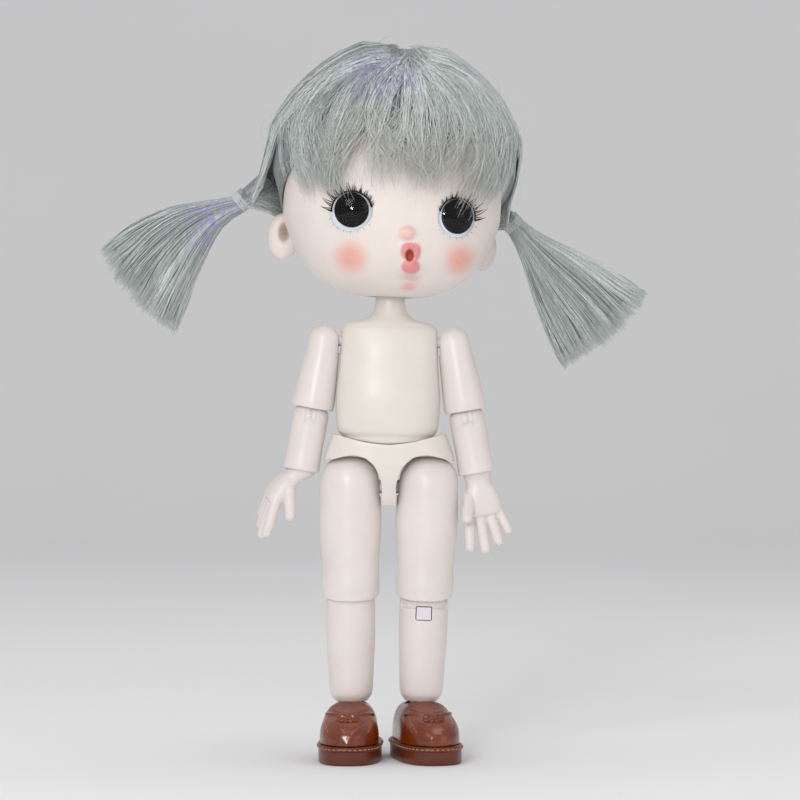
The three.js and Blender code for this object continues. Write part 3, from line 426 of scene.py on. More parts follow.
def worked(piece: Piece, how: Cut, *tools: Piece) -> Piece:
    """Cuts, joins or keeps a form with tools, which are used up.

    Args:
        piece: The form, changed in place.
        how: What the tools do to it.
        tools: Closed forms.

    Returns:
        The same form.
    """
    for tool in tools:
        change = piece.modifiers.new("work", "BOOLEAN")
        change.operation = how.value
        change.solver = "MANIFOLD"
        change.object = tool
    bake(piece)
    for tool in tools:
        bpy.data.objects.remove(tool)
    return piece


def copied(piece: Piece, name: str) -> Piece:
    """A copy of a piece with its own mesh."""
    twin = bpy.data.objects.new(name, piece.data.copy())
    bpy.context.scene.collection.objects.link(twin)
    return twin


def moulded(piece: Piece, grain: float, softness: int) -> Piece:
    """Turns a sharp form into an even mesh whose edges are rounded as a moulding's are.

    Args:
        piece: The form, changed in place.
        grain: Size of the mesh's faces in millimetres.
        softness: Rounds of smoothing.

    Returns:
        The same form.
    """
    even = piece.modifiers.new("even", "REMESH")
    even.mode = "VOXEL"
    even.voxel_size = grain
    soft = piece.modifiers.new("soft", "SMOOTH")
    soft.factor = 0.5
    soft.iterations = softness
    return bake(piece)


def fitted(
    piece: Piece, place: Place, body: str, finish: Finish, nodes: Iterable[str], angle: float | None = SHARP
) -> None:
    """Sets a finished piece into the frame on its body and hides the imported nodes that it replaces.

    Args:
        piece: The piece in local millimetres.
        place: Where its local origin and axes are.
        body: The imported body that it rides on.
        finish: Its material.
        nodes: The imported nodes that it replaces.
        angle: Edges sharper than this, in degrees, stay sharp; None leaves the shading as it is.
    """
    if angle is not None:
        piece.data.shade_smooth()
        piece.data.set_sharp_from_angle(angle=math.radians(angle))
    shift(piece, place.matrix())
    piece.data.materials.clear()
    piece.data.materials.append(finish)
    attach(piece, body)
    if nodes:
        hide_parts(*nodes)
    log.info("%s: %d faces on %s", piece.name, len(piece.data.polygons), body)


# Materials


class Shader:
    """A node material being built."""

    def __init__(self, name: str) -> None:
        """Starts a material with its main shader and its output."""
        self.material = bpy.data.materials.new(name)
        self.material.use_nodes = True
        self.tree = self.material.node_tree
        self.tree.nodes.clear()
        self.surface = self.node("ShaderNodeBsdfPrincipled")
        output = self.node("ShaderNodeOutputMaterial")
        self.join(self.surface.outputs[0], output.inputs["Surface"])

    def node(self, kind: str, **inputs: object) -> bpy.types.Node:
        """Adds a node.

        Args:
            kind: The node's type.
            **inputs: Input values, an underscore standing for a blank in the input's name.

        Returns:
            The node.
        """
        made = self.tree.nodes.new(kind)
        for key, value in inputs.items():
            made.inputs[key.replace("_", " ")].default_value = value
        return made

    def join(self, output: Socket, target: Socket) -> None:
        """Links an output to an input."""
        self.tree.links.new(output, target)

    def feed(self, name: str, output: Socket) -> None:
        """Links an output to an input of the main shader."""
        self.join(output, self.surface.inputs[name])

    def place(self, stretch: Numbers = (1, 1, 1)) -> Socket:
        """The piece's own coordinates in metres, stretched along each axis."""
        source = self.node("ShaderNodeTexCoord")
        if tuple(stretch) == (1, 1, 1):
            return source.outputs["Object"]
        mapping = self.node("ShaderNodeMapping", Scale=stretch)
        self.join(source.outputs["Object"], mapping.inputs["Vector"])
        return mapping.outputs["Vector"]

    def noise(self, size: float, detail: float = 3.0, stretch: Numbers = (1, 1, 1)) -> Socket:
        """Noise whose blotches are a size in metres across."""
        made = self.node("ShaderNodeTexNoise", Scale=1 / size, Detail=detail)
        self.join(self.place(stretch), made.inputs["Vector"])
        return made.outputs["Fac"]

    def ranged(
        self, value: Socket, low: float, high: float, to_low: float, to_high: float, smooth: bool = False
    ) -> Socket:
        """A value carried from one range to another and held there."""
        made = self.node("ShaderNodeMapRange")
        made.interpolation_type = "SMOOTHSTEP" if smooth else "LINEAR"
        for name, number in zip(("From Min", "From Max", "To Min", "To Max"), (low, high, to_low, to_high)):
            made.inputs[name].default_value = number
        self.join(value, made.inputs["Value"])
        return made.outputs["Result"]

    def ramp(self, value: Socket, stops: Sequence[tuple[float, Colour]]) -> Socket:
        """A value turned into colours."""
        made = self.node("ShaderNodeValToRGB")
        band = made.color_ramp
        while len(band.elements) < len(stops):
            band.elements.new(0.5)
        for element, (position, colour) in zip(band.elements, stops):
            element.position = position
            element.color = (*colour, 1)
        self.join(value, made.inputs["Fac"])
        return made.outputs["Color"]

    def mottle(self, size: float, detail: float, *stops: tuple[float, Colour]) -> None:
        """Colours the surface in blotches of a size in metres."""
        self.feed("Base Color", self.ramp(self.noise(size, detail), stops))

    def maths(self, operation: str, *values: Socket | Numbers, vector: bool = False) -> Socket:
        """The result of an operation.

        Args:
            operation: The operation of a Math or Vector Math node.
            *values: Outputs to link, or fixed values.
            vector: Whether it works on vectors.

        Returns:
            The output that holds the result.
        """
        made = self.node("ShaderNodeVectorMath" if vector else "ShaderNodeMath")
        made.operation = operation
        for value, target in zip(values, made.inputs):
            if isinstance(value, Socket):
                self.join(value, target)
            else:
                target.default_value = value
        number = not vector or operation in ("LENGTH", "DISTANCE")
        return made.outputs["Value" if number else "Vector"]

    def mixed(
        self, share: Socket, under: Socket | Colour, over: Socket | Colour
    ) -> Socket:
        """Two colours mixed by a share of the second."""
        made = self.node("ShaderNodeMix")
        made.data_type = "RGBA"
        self.join(share, made.inputs["Factor"])
        for colour, name in ((under, "A"), (over, "B")):
            socket = next(s for s in made.inputs if s.name == name and s.type == "RGBA")
            if isinstance(colour, tuple):
                socket.default_value = (*colour, 1)
            else:
                self.join(colour, socket)
        return next(s for s in made.outputs if s.type == "RGBA")

    def attribute(self, name: str) -> Socket:
        """A mesh attribute's value."""
        made = self.node("ShaderNodeAttribute")
        made.attribute_name = name
        return made.outputs["Fac"]

    def relief(self, height: Socket, depth: float, strength: float = 1.0) -> None:
        """Bumps the surface by a height, whose full range is a depth in metres."""
        made = self.node("ShaderNodeBump", Strength=strength, Distance=depth)
        self.join(height, made.inputs["Height"])
        self.feed("Normal", made.outputs["Normal"])

    def set(self, **inputs: object) -> None:
        """Sets inputs of the main shader, an underscore standing for a blank."""
        for key, value in inputs.items():
            self.surface.inputs[key.replace("_", " ")].default_value = value


@dataclass(frozen=True)
class Plastic:
    """Moulded vinyl or hard plastic: soft light inside, a faint cloudiness and a fine pitted gloss."""

    name: str
    light: Colour
    dark: Colour
    roughness: float = 0.4
    depth: float = 0.25
    scatter: float = 0.0011
    cloud: float = 0.009
    grain: float = 0.00035
    bump: float = 0.000012

    def shader(self) -> Shader:
        """The finish with its colour and grain set up.

        Returns:
            The shader, whose base colour input can still be replaced.
        """
        made = Shader(self.name)
        made.mottle(self.cloud, 2, (0.3, self.dark), (0.7, self.light))
        gloss = made.ranged(made.noise(self.cloud / 3, 3), 0.3, 0.7, self.roughness - 0.05, self.roughness + 0.06)
        made.feed("Roughness", gloss)
        made.set(Subsurface_Weight=self.depth, Subsurface_Radius=(1.0, 0.55, 0.4), Subsurface_Scale=self.scatter)
        made.relief(made.noise(self.grain, 2), self.bump)
        return made

    def build(self) -> Finish:
        """The material."""
        return self.shader().material


# Skeleton


@dataclass(frozen=True)
class Stance:
    """Where the doll's pieces are hinged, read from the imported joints."""

    joints: dict[str, dict]

    @classmethod
    def of_frame(cls, frame: dict) -> Stance:
        """The stance of a loaded frame."""
        return cls({joint["name"]: joint for joint in frame["joints"]})

    def point(self, name: str) -> Vector:
        """A joint's place in metres."""
        return Vector(self.joints[name]["pos_m"])

    def axis(self, name: str) -> Vector:
        """A joint's axis."""
        return Vector(self.joints[name]["axis"])

    def torso(self) -> Place:
        """The torso's axes at the waist ball."""
        return Place.of_axes(self.point("waist_turn"), self.axis("head_turn"), Vector((0, 1, 0)))

    def pelvis(self) -> Place:
        """Level axes midway between the hips."""
        return Place.level((self.point("left_hip_swing") + self.point("right_hip_swing")) / 2)

    def head(self) -> Place:
        """The turned head's axes at the neck ball."""
        side = self.axis("head_nod").normalized()
        back = self.axis("head_turn").cross(side).normalized()
        return Place(self.point("head_nod"), side, back, side.cross(back))

    def arm(self, side: Side, joint: str) -> Place:
        """An arm's axes at one of its joints."""
        up = self.axis(f"{side.value}_elbow_turn") * side.sign
        return Place.of_axes(self.point(f"{side.value}_{joint}"), up, Vector((0, 1, 0)))

    def leg(self, side: Side, joint: str) -> Place:
        """A leg's axes at one of its joints."""
        up = self.axis(f"{side.value}_knee_turn") * -side.sign
        return Place.of_axes(self.point(f"{side.value}_{joint}"), up, Vector((0, 1, 0)))

    def floor(self, side: Side) -> Place:
        """Level axes on the floor under an ankle."""
        ankle = self.point(f"{side.value}_ankle_rock")
        return Place.level(Vector((ankle.x, ankle.y, 0)))


# Pegs


@dataclass(frozen=True)
class Peg:
    """A two-way joint peg: a stem along +X with a flange, and a tongue with a pin along Y."""

    stem: float
    length: float
    flange: float
    flange_thickness: float
    tongue: float
    thickness: float
    pin: float
    pin_length: float
    gap: float = 0.3

    def across(self, radius: float, half: float, sides: int = 28) -> Piece:
        """A round bar along Y about the middle, to a distance each way."""
        return rod("Y", radius, -half, half, sides)

    def form(self, name: str) -> Piece:
        """The peg about the middle of its pin."""
        made = self.across(self.tongue, self.thickness / 2)
        made.name = made.data.name = name
        pin = self.across(self.pin, self.pin_length / 2)
        stem = rod("X", self.stem, 0, self.length)
        flange = rod("X", self.flange, self.length - self.flange_thickness, self.length)
        return worked(made, Cut.JOIN, pin, stem, flange)

    def bore(self) -> Piece:
        """The hole and flange pocket that hold its stem."""
        hole = rod("X", self.stem + self.gap, 0, self.length)
        low = self.length - self.flange_thickness - self.gap
        pocket = rod("X", self.flange + self.gap, low, self.length + self.gap)
        return worked(hole, Cut.JOIN, pocket)

    def slit(self, clearance: float) -> Piece:
        """The close slit for a wide round tongue, with the hole of its pin."""
        tongue = self.across(self.tongue + clearance, self.thickness / 2 + clearance, 56)
        return worked(tongue, Cut.JOIN, self.across(self.pin + clearance, self.pin_length / 2 + clearance))

    def slot(self, reach: float, low: float, high: float) -> Piece:
        """The room round its tongue and pin, with its stem free to turn between two angles above +X.

        Args:
            reach: How far the room runs from the pin.
            low: The lower angle in degrees.
            high: The upper angle in degrees.

        Returns:
            The closed tool.
        """
        width = max(self.stem, self.thickness / 2) + self.gap
        tongue = self.across(self.tongue + self.gap, width)
        tall = self.stem + self.gap
        tools = [self.across(self.pin + self.gap, self.pin_length / 2 + self.gap)]
        steps = max(2, round((high - low) / SLOT_STEP))
        for step in range(steps + 1):
            angle = low + (high - low) * step / steps
            tool = block((0, -width, -tall), (reach, width, tall))
            tools.append(shift(tool, Matrix.Rotation(math.radians(-angle), 4, "Y")))
        return worked(tongue, Cut.JOIN, *tools)


SLOT_STEP = 12.0
UPRIGHT_TO_BACK = (-90.0, -90.0, 0.0)
UPRIGHT_TO_FRONT = (-90.0, -90.0, 180.0)
UPRIGHT_ACROSS = (0.0, -90.0, 0.0)


def turned_by(piece: Piece, turn: Numbers, place: Numbers = (0, 0, 0)) -> Piece:
    """A piece turned about X, then Y, then Z in degrees, and moved in millimetres."""
    return shift(piece, Matrix.Translation(place) @ turning(turn).to_4x4())


def side_turn(side: Side) -> Triple:
    """The turn that points +X at the middle of the body."""
    return (0.0, 0.0, 180.0) if side is Side.LEFT else (0.0, 0.0, 0.0)


@dataclass
class Kit:
    """What every part of the doll is built with."""

    stance: Stance
    skin: Finish
    body: Finish
    peg: Finish
    seam: float = 0.06
    reach: float = 200.0
    peg_grain: float = 0.12

    def shells(
        self, form: Piece, place: Place, body: str, finish: Finish,
        front: str = "front", split: float = 0.0, angle: float = SHARP,
    ) -> None:
        """Splits a form across Y into the front and back shells that the frame has.

        Args:
            form: The whole form in local millimetres, used up.
            place: Where its origin and axes are.
            body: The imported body, whose name the nodes' names start with.
            finish: The material.
            front: The last word of the front shell's name.
            split: Where it is split.
            angle: Edges sharper than this, in degrees, stay sharp.
        """
        far = self.reach
        for word, low, high in ((front, split - self.seam, far), ("back", -far, split + self.seam)):
            shell = copied(form, f"{body}_{word}_shell")
            worked(shell, Cut.AWAY, block((-far, low, -far), (far, high, far)))
            fitted(shell, place, body, finish, [f"{body}_{word}"], angle)
        bpy.data.objects.remove(form)

    def pin(
        self, peg: Peg, turn: Numbers, place: Place, node: str, finish: Finish | None = None
    ) -> None:
        """Adds a joint peg that replaces a node, which is also its body's name.

        Args:
            peg: The peg.
            turn: How it stands, in degrees about X, Y and Z.
            place: Where the middle of its pin is.
            node: The node.
            finish: A finish of its own, which also keeps the peg's edges crisp.
        """
        form = peg.form(f"{node}_pin")
        turned_by(form if finish else moulded(form, self.peg_grain, 3), turn)
        fitted(form, place, node, finish or self.peg, [node])


# Body


def prism(outline: Sequence[tuple[float, float]], low: float, high: float) -> Piece:
    """A block whose outline in X and Z runs from one Y to another."""
    count = len(outline)
    points = [(x, y, z) for y in (low, high) for x, z in outline]
    area = sum(x * outline[(n + 1) % count][1] - outline[(n + 1) % count][0] * z for n, (x, z) in enumerate(outline))
    order = list(range(count)) if area > 0 else list(range(count))[::-1]
    faces = [tuple(order), tuple(count + n for n in reversed(order))]
    for n in range(count):
        here, after = order[n], order[(n + 1) % count]
        faces.append((here, here + count, after + count, after))
    return mesh_object("prism", points, faces)


def bowl(radius: float, lowest: float, reach: float = 36.0, step: float = 3.0) -> Piece:
    """A tool with a round bottom of one radius, standing on a height and open far above."""
    count = round(reach / step)
    angles = [math.radians(step * n) for n in range(count + 1)]
    arc = [(radius * math.sin(a), lowest + radius * (1 - math.cos(a))) for a in angles]
    top = lowest + radius * 2
    return turned("bowl", [(0, top), (arc[-1][0], top), *reversed(arc)], 96)


@dataclass(frozen=True)
class Leg:
    """One leg: a thigh and a calf in two shells each, pegs at the hip, knee and ankle."""

    side: Side
    thigh_length: float = 21.8
    thigh_width: float = 13.5
    thigh_depth: float = 13.2
    thigh_round: float = 2.5
    calf_length: float = 25.0
    calf_width: float = 10.7
    ankle_width: float = 7.1
    lip_drop: float = 2.0
    lip_tilt: float = 13.0
    gap: float = 0.3
    notch_height: float = 6.25
    notch_back: float = 0.8
    lean: float = 1.9
    hip_room: float = 40.0
    knee_room: float = 90.0
    ankle_ball: float = 2.5
    ankle_end: float = 0.55
    band_width: float = 10.0
    band_height: float = 3.6
    band_depth: float = 0.45
    key_width: float = 3.2
    key_height: float = 2.8
    key_drop: float = 4.6
    key_depth: float = 2.0
    key_grain: float = 0.08
    grain: float = 0.2
    hip_peg: Peg = Peg(1.5, 8.45, 2.2, 0.6, 2.7, 3.0, 1.2, 7.0)
    knee_peg: Peg = Peg(1.4, 10.0, 2.2, 1.2, 2.4, 2.8, 1.1, 6.6)
    ankle_peg: Peg = Peg(0.9, 5.0, 1.4, 0.8, 1.1, 1.4, 0.5, 2.6)
    thigh_shares: Shares = (
        (0.12, 1, 1, 1), (0.37, 1.03, 1, 1), (0.62, 0.975, 0.96, 0.97), (0.83, 0.935, 0.93, 0.94),
        (1, 0.955, 0.96, 0.96), (1.09, 0.93, 0.94, 0.94),
    )
    calf_shares: Shares = (
        (0.12, 1, 1, 1), (0.4, 1.01, 0.97, 1.06), (0.7, 0.95, 0.93, 0.97), (0.95, 0.87, 0.87, 0.87),
    )

    def thigh(self) -> Piece:
        """The thigh about the hip, hanging down."""
        across, deep = self.thigh_width / 2, self.thigh_depth / 2
        rings = dome_rings(across, Ring(0, across, deep, deep, self.thigh_round))
        rings += stacked(self.thigh_shares, -self.thigh_length, across, deep, deep)
        low = -self.thigh_length - self.lip_drop * 2
        rings.append(replace(rings[-1], z=low))
        made = loft(f"{self.side.value}_thigh", rings, across, low, 64)
        opening = self.calf_width / 2 + self.gap
        knee = (0, 0, -self.thigh_length)
        wide = self.thigh_width * 2
        floor = shift(
            block((-wide, -wide, -wide), (wide, wide, 0)),
            Matrix.Translation((0, 0, -self.thigh_length - self.lip_drop))
            @ Matrix.Rotation(math.radians(self.lip_tilt), 4, "X"),
        )
        cup = worked(ball(opening, knee, sides=48), Cut.JOIN, bar(opening, knee, (0, 0, low - 1), 48))
        notch = block((-wide, self.notch_back, low - 1), (wide, wide, -self.thigh_length + self.notch_height))
        slot = self.hip_peg.slot(self.thigh_width, -self.lean, self.hip_room + self.lean)
        turned_by(slot, side_turn(self.side))
        bore = turned_by(self.knee_peg.bore(), UPRIGHT_TO_BACK, knee)
        worked(made, Cut.AWAY, floor, cup, notch, slot, bore)
        return moulded(made, self.grain, 5)

    def calf(self) -> Piece:
        """The calf about the knee, hanging down."""
        half = self.calf_width / 2
        rings = dome_rings(half, Ring(0, half, half, half))
        rings += stacked(self.calf_shares, -self.calf_length, half, half, half)
        end = -self.calf_length - self.ankle_end
        tip = self.ankle_width / 2
        rings.append(Ring(end, tip, tip, tip))
        made = loft(f"{self.side.value}_calf", rings, half, end, 64)
        ankle = (0, 0, -self.calf_length)
        slot = turned_by(self.knee_peg.slot(self.calf_width, 0, self.knee_room), UPRIGHT_TO_BACK)
        cup = ball(self.ankle_ball + self.gap, ankle)
        bore = turned_by(self.ankle_peg.bore(), UPRIGHT_TO_BACK, ankle)
        worked(made, Cut.AWAY, slot, cup, bore)
        if self.side is Side.LEFT:
            self.seat_key(made)
        return moulded(made, self.grain * 0.85, 3)

    def seat_key(self, calf: Piece) -> None:
        """Cuts the shallow band across the shin and the seat of the key block."""
        half = self.calf_width / 2
        top = -self.key_drop + self.band_height / 2 + self.key_height / 2
        wide = self.band_width / 2
        band = block((-wide, -self.calf_width, top - self.band_height), (wide, 0, top))
        worked(band, Cut.AWAY, rod("Z", half - self.band_depth, -self.calf_width, half, 64))
        worked(calf, Cut.AWAY, band, self.key(self.gap / 2, True))

    def key(self, clearance: float, opened: bool = False) -> Piece:
        """The key block, or its seat when it is opened to the front."""
        face = -self.calf_width / 2 + self.band_depth / 2
        front = face - 2 if opened else face
        half = self.key_width / 2 + clearance
        low = -self.key_drop - self.key_height - clearance
        return block((-half, front, low), (half, face + self.key_depth + clearance, -self.key_drop + clearance))

    def build(self, kit: Kit) -> None:
        """Adds the leg down to the ankle."""
        word = self.side.value
        hip, knee = kit.stance.leg(self.side, "hip_swing"), kit.stance.leg(self.side, "knee_bend")
        ankle = Place.level(kit.stance.point(f"{word}_ankle_rock"))
        kit.shells(self.thigh(), hip, f"{word}_thigh", kit.skin)
        kit.shells(self.calf(), knee, f"{word}_calf", kit.skin)
        kit.pin(self.hip_peg, side_turn(self.side), Place.level(hip.origin), f"{word}_hip_joint")
        kit.pin(self.knee_peg, UPRIGHT_TO_BACK, knee, f"{word}_knee_joint")
        kit.pin(self.ankle_peg, UPRIGHT_TO_BACK, ankle, f"{word}_ankle_joint")
        if self.side is Side.LEFT:
            key = self.key(0)
            key.name = "left_shin_key"
            moulded(key, self.key_grain, 4)
            fitted(key, knee, "left_calf", kit.peg, ["left_knee_key"])


@dataclass(frozen=True)
class BallPeg:
    """A turned peg with a ball on top and a flange below."""

    radius: float
    stem: float
    flange: float
    thickness: float
    drop: float
    grain: float = 0.15

    def form(self, name: str) -> Piece:
        """The peg about the ball's centre."""
        low, high = -self.drop - self.thickness / 2, -self.drop + self.thickness / 2
        start = math.asin(self.stem / self.radius)
        arc = [start + (math.pi - start) * n / 20 for n in range(21)]
        upper = [(self.radius * math.sin(a), -self.radius * math.cos(a)) for a in reversed(arc)]
        upper[0] = (0, self.radius)
        return turned(name, [*upper, (self.stem, high), (self.flange, high), (self.flange, low), (0, low)], 48)

    def build(self, kit: Kit, place: Place, node: str) -> None:
        """Adds the peg in place of a node that names its body too."""
        made = moulded(self.form(f"{node}_ball"), self.grain, 3)
        fitted(made, place, node, kit.peg, [node])


@dataclass(frozen=True)
class Pelvis:
    """The hip piece: a dish for the torso and an arch for each thigh."""

    hip_spacing: float = 17.2
    top_rise: float = 13.2
    side_rise: float = 5.6
    width: float = 29.0
    depth: float = 15.6
    crotch_drop: float = 4.2
    crotch_width: float = 3.1
    seat_rise: float = 8.6
    seat_radius: float = 22.5
    seat_gap: float = 0.45
    peak: float = 7.1
    shoulder_share: float = 0.5
    bend_share: float = 0.25
    room_share: float = 0.66
    room_half: float = 0.42
    room_radius: float = 7.75
    round: float = 2.5
    gap: float = 0.3
    waist_flange_drop: float = 2.9
    grain: float = 0.17
    shares: Shares = (
        (1, 0.83, 0.93, 0.93), (0.78, 0.93, 1, 1), (0.56, 1, 1, 1.02), (0.4, 1, 0.93, 1),
        (0.2, 1, 0.74, 0.86), (0.06, 1, 0.58, 0.66), (0, 1, 0.48, 0.52),
    )

    def arch(self, sign: float) -> Piece:
        """The opening for one thigh, with a round room for its top inside."""
        centre = sign * self.hip_spacing / 2
        inner, outer = sign * self.crotch_width / 2, sign * self.width / 2
        low = -self.top_rise
        middle = inner + (centre - inner) * self.shoulder_share
        control = (inner + (middle - inner) * self.bend_share, self.peak)
        outline = [(inner, low), (inner, 0.0)]
        steps = 14
        for step in range(1, steps + 1):
            t = step / steps
            x = (1 - t) ** 2 * inner + 2 * t * (1 - t) * control[0] + t * t * centre
            z = 2 * t * (1 - t) * control[1] + t * t * self.peak
            outline.append((x, z))
        far = outer + sign * self.room_radius
        outline += [(outer, self.side_rise), (far, self.side_rise - 1), (far, low)]
        made = prism(outline, -self.depth, self.depth)
        deep = self.depth * self.room_share * self.room_half
        return worked(made, Cut.JOIN, bar(self.room_radius, (centre, -deep, 0), (centre, deep, 0), 64))

    def form(self, hip_peg: Peg, waist_peg: BallPeg) -> Piece:
        """The pelvis about the middle of the line between the hips."""
        height, half, deep = self.top_rise + self.crotch_drop, self.width / 2, self.depth / 2
        rings = stacked(self.shares, height, half, deep, deep, self.round, -self.crotch_drop)
        made = loft("pelvis", rings, self.top_rise, -self.crotch_drop, 96)
        dish = bowl(self.seat_radius + self.seat_gap, self.seat_rise - self.seat_gap)
        low = self.seat_rise - self.waist_flange_drop
        stem = rod("Z", waist_peg.stem + self.gap, low, self.top_rise)
        half = waist_peg.thickness / 2 + self.gap
        flange = rod("Z", waist_peg.flange + self.gap, low - half, low + half)
        room = hip_peg.flange_thickness + self.gap * 1.5
        hub = rod("X", hip_peg.flange + self.gap, -room, room)
        hole = rod("X", hip_peg.stem + self.gap, -self.crotch_width, self.crotch_width)
        worked(made, Cut.AWAY, dish, self.arch(1), self.arch(-1), stem, flange, hub, hole)
        return moulded(made, self.grain, 4)

    def build(self, kit: Kit, hip_peg: Peg, waist_peg: BallPeg) -> None:
        """Adds the pelvis shells."""
        kit.shells(self.form(hip_peg, waist_peg), kit.stance.pelvis(), "pelvis", kit.body)


@dataclass(frozen=True)
class Torso:
    """Chest, belly and neck in two shells over a round seat."""

    seat_radius: float = 22.5
    waist_rise: float = 21.1
    shoulder_rise: float = 23.5
    neck_base: float = 28.9
    neck_top: float = 33.7
    neck_ball_rise: float = 36.3
    width: float = 23.3
    depth: float = 16.4
    neck_width: float = 6.4
    neck_flare: float = 1.04
    round: float = 2.35
    gap: float = 0.3
    waist_swing: float = 2.2
    shoulder_spacing: float = 28.6
    grain: float = 0.2
    waist_peg: BallPeg = BallPeg(3.0, 1.8, 3.0, 1.2, 24.0)
    neck_peg: BallPeg = BallPeg(3.0, 1.6, 2.3, 1.0, 8.9)
    shares: Shares = (
        (1.1, 0.285, 0.41, 0.41), (1.052, 0.313, 0.435, 0.435), (1.024, 0.36, 0.46, 0.46),
        (1, 0.43, 0.49, 0.49), (0.979, 0.54, 0.53, 0.54), (0.964, 0.7, 0.565, 0.58),
        (0.952, 0.805, 0.59, 0.61), (0.931, 0.875, 0.63, 0.65), (0.906, 0.915, 0.69, 0.7),
        (0.81, 0.925, 0.78, 0.76), (0.704, 0.932, 0.84, 0.8), (0.522, 0.965, 0.96, 0.83),
        (0.389, 0.995, 1.02, 0.84), (0.226, 0.985, 0.99, 0.83), (0.15, 0.96, 0.94, 0.8),
        (0.112, 0.92, 0.89, 0.77), (0.074, 0.84, 0.82, 0.72),
    )

    def form(self, shoulder_peg: Peg) -> Piece:
        """The torso about the lowest point of its round bottom."""
        neck = self.neck_width / 2
        rings = [Ring(self.neck_top, neck, neck, neck)]
        for rise, wide, front, back in self.shares:
            roundness = ELLIPSE if rise > 1 else self.round
            deep = self.depth / 2
            rings.append(Ring(self.neck_base * rise, self.width / 2 * wide, deep * front, deep * back, roundness))
        rings[1] = replace(rings[1], half=neck * self.neck_flare)
        rings.append(replace(rings[-1], z=-1))
        made = loft("torso", rings, self.neck_top, -1, 96)
        worked(made, Cut.KEEP, bowl(self.seat_radius, 0))
        socket = ball(self.waist_peg.radius + self.gap, (0, 0, self.waist_rise))
        well_top = self.waist_rise - self.waist_peg.radius * 0.75
        well = rod("Z", self.waist_peg.stem + self.waist_swing + self.gap, -1, well_top, 48)
        cup = ball(self.neck_peg.radius + self.gap * 2, (0, 0, self.neck_ball_rise))
        low = self.neck_ball_rise - self.neck_peg.drop
        hole = rod("Z", self.neck_peg.stem + self.gap, low, self.neck_ball_rise)
        half = self.neck_peg.thickness / 2 + self.gap
        room = rod("Z", self.neck_peg.flange + self.gap, low - half, low + half)
        bores = []
        for side in Side:
            shoulder = (side.sign * self.shoulder_spacing / 2, 0, self.shoulder_rise)
            bores.append(turned_by(shoulder_peg.bore(), side_turn(side), shoulder))
        worked(made, Cut.AWAY, socket, well, cup, hole, room, *bores)
        return moulded(made, self.grain, 5)

    def build(self, kit: Kit, shoulder_peg: Peg) -> None:
        """Adds the torso shells and the pegs at the waist and neck."""
        waist = kit.stance.torso()
        seat = waist.moved(0, 0, -self.waist_rise)
        kit.shells(self.form(shoulder_peg), seat, "torso", kit.body)
        self.waist_peg.build(kit, Place.level(waist.origin), "waist_peg")
        self.neck_peg.build(kit, replace(waist, origin=kit.stance.point("head_turn")), "neck_peg")


@dataclass(frozen=True)
class Finger:
    """One finger: where it leaves the palm, its lean and shares of width and length."""

    place: float
    lean: float
    width: float
    length: float


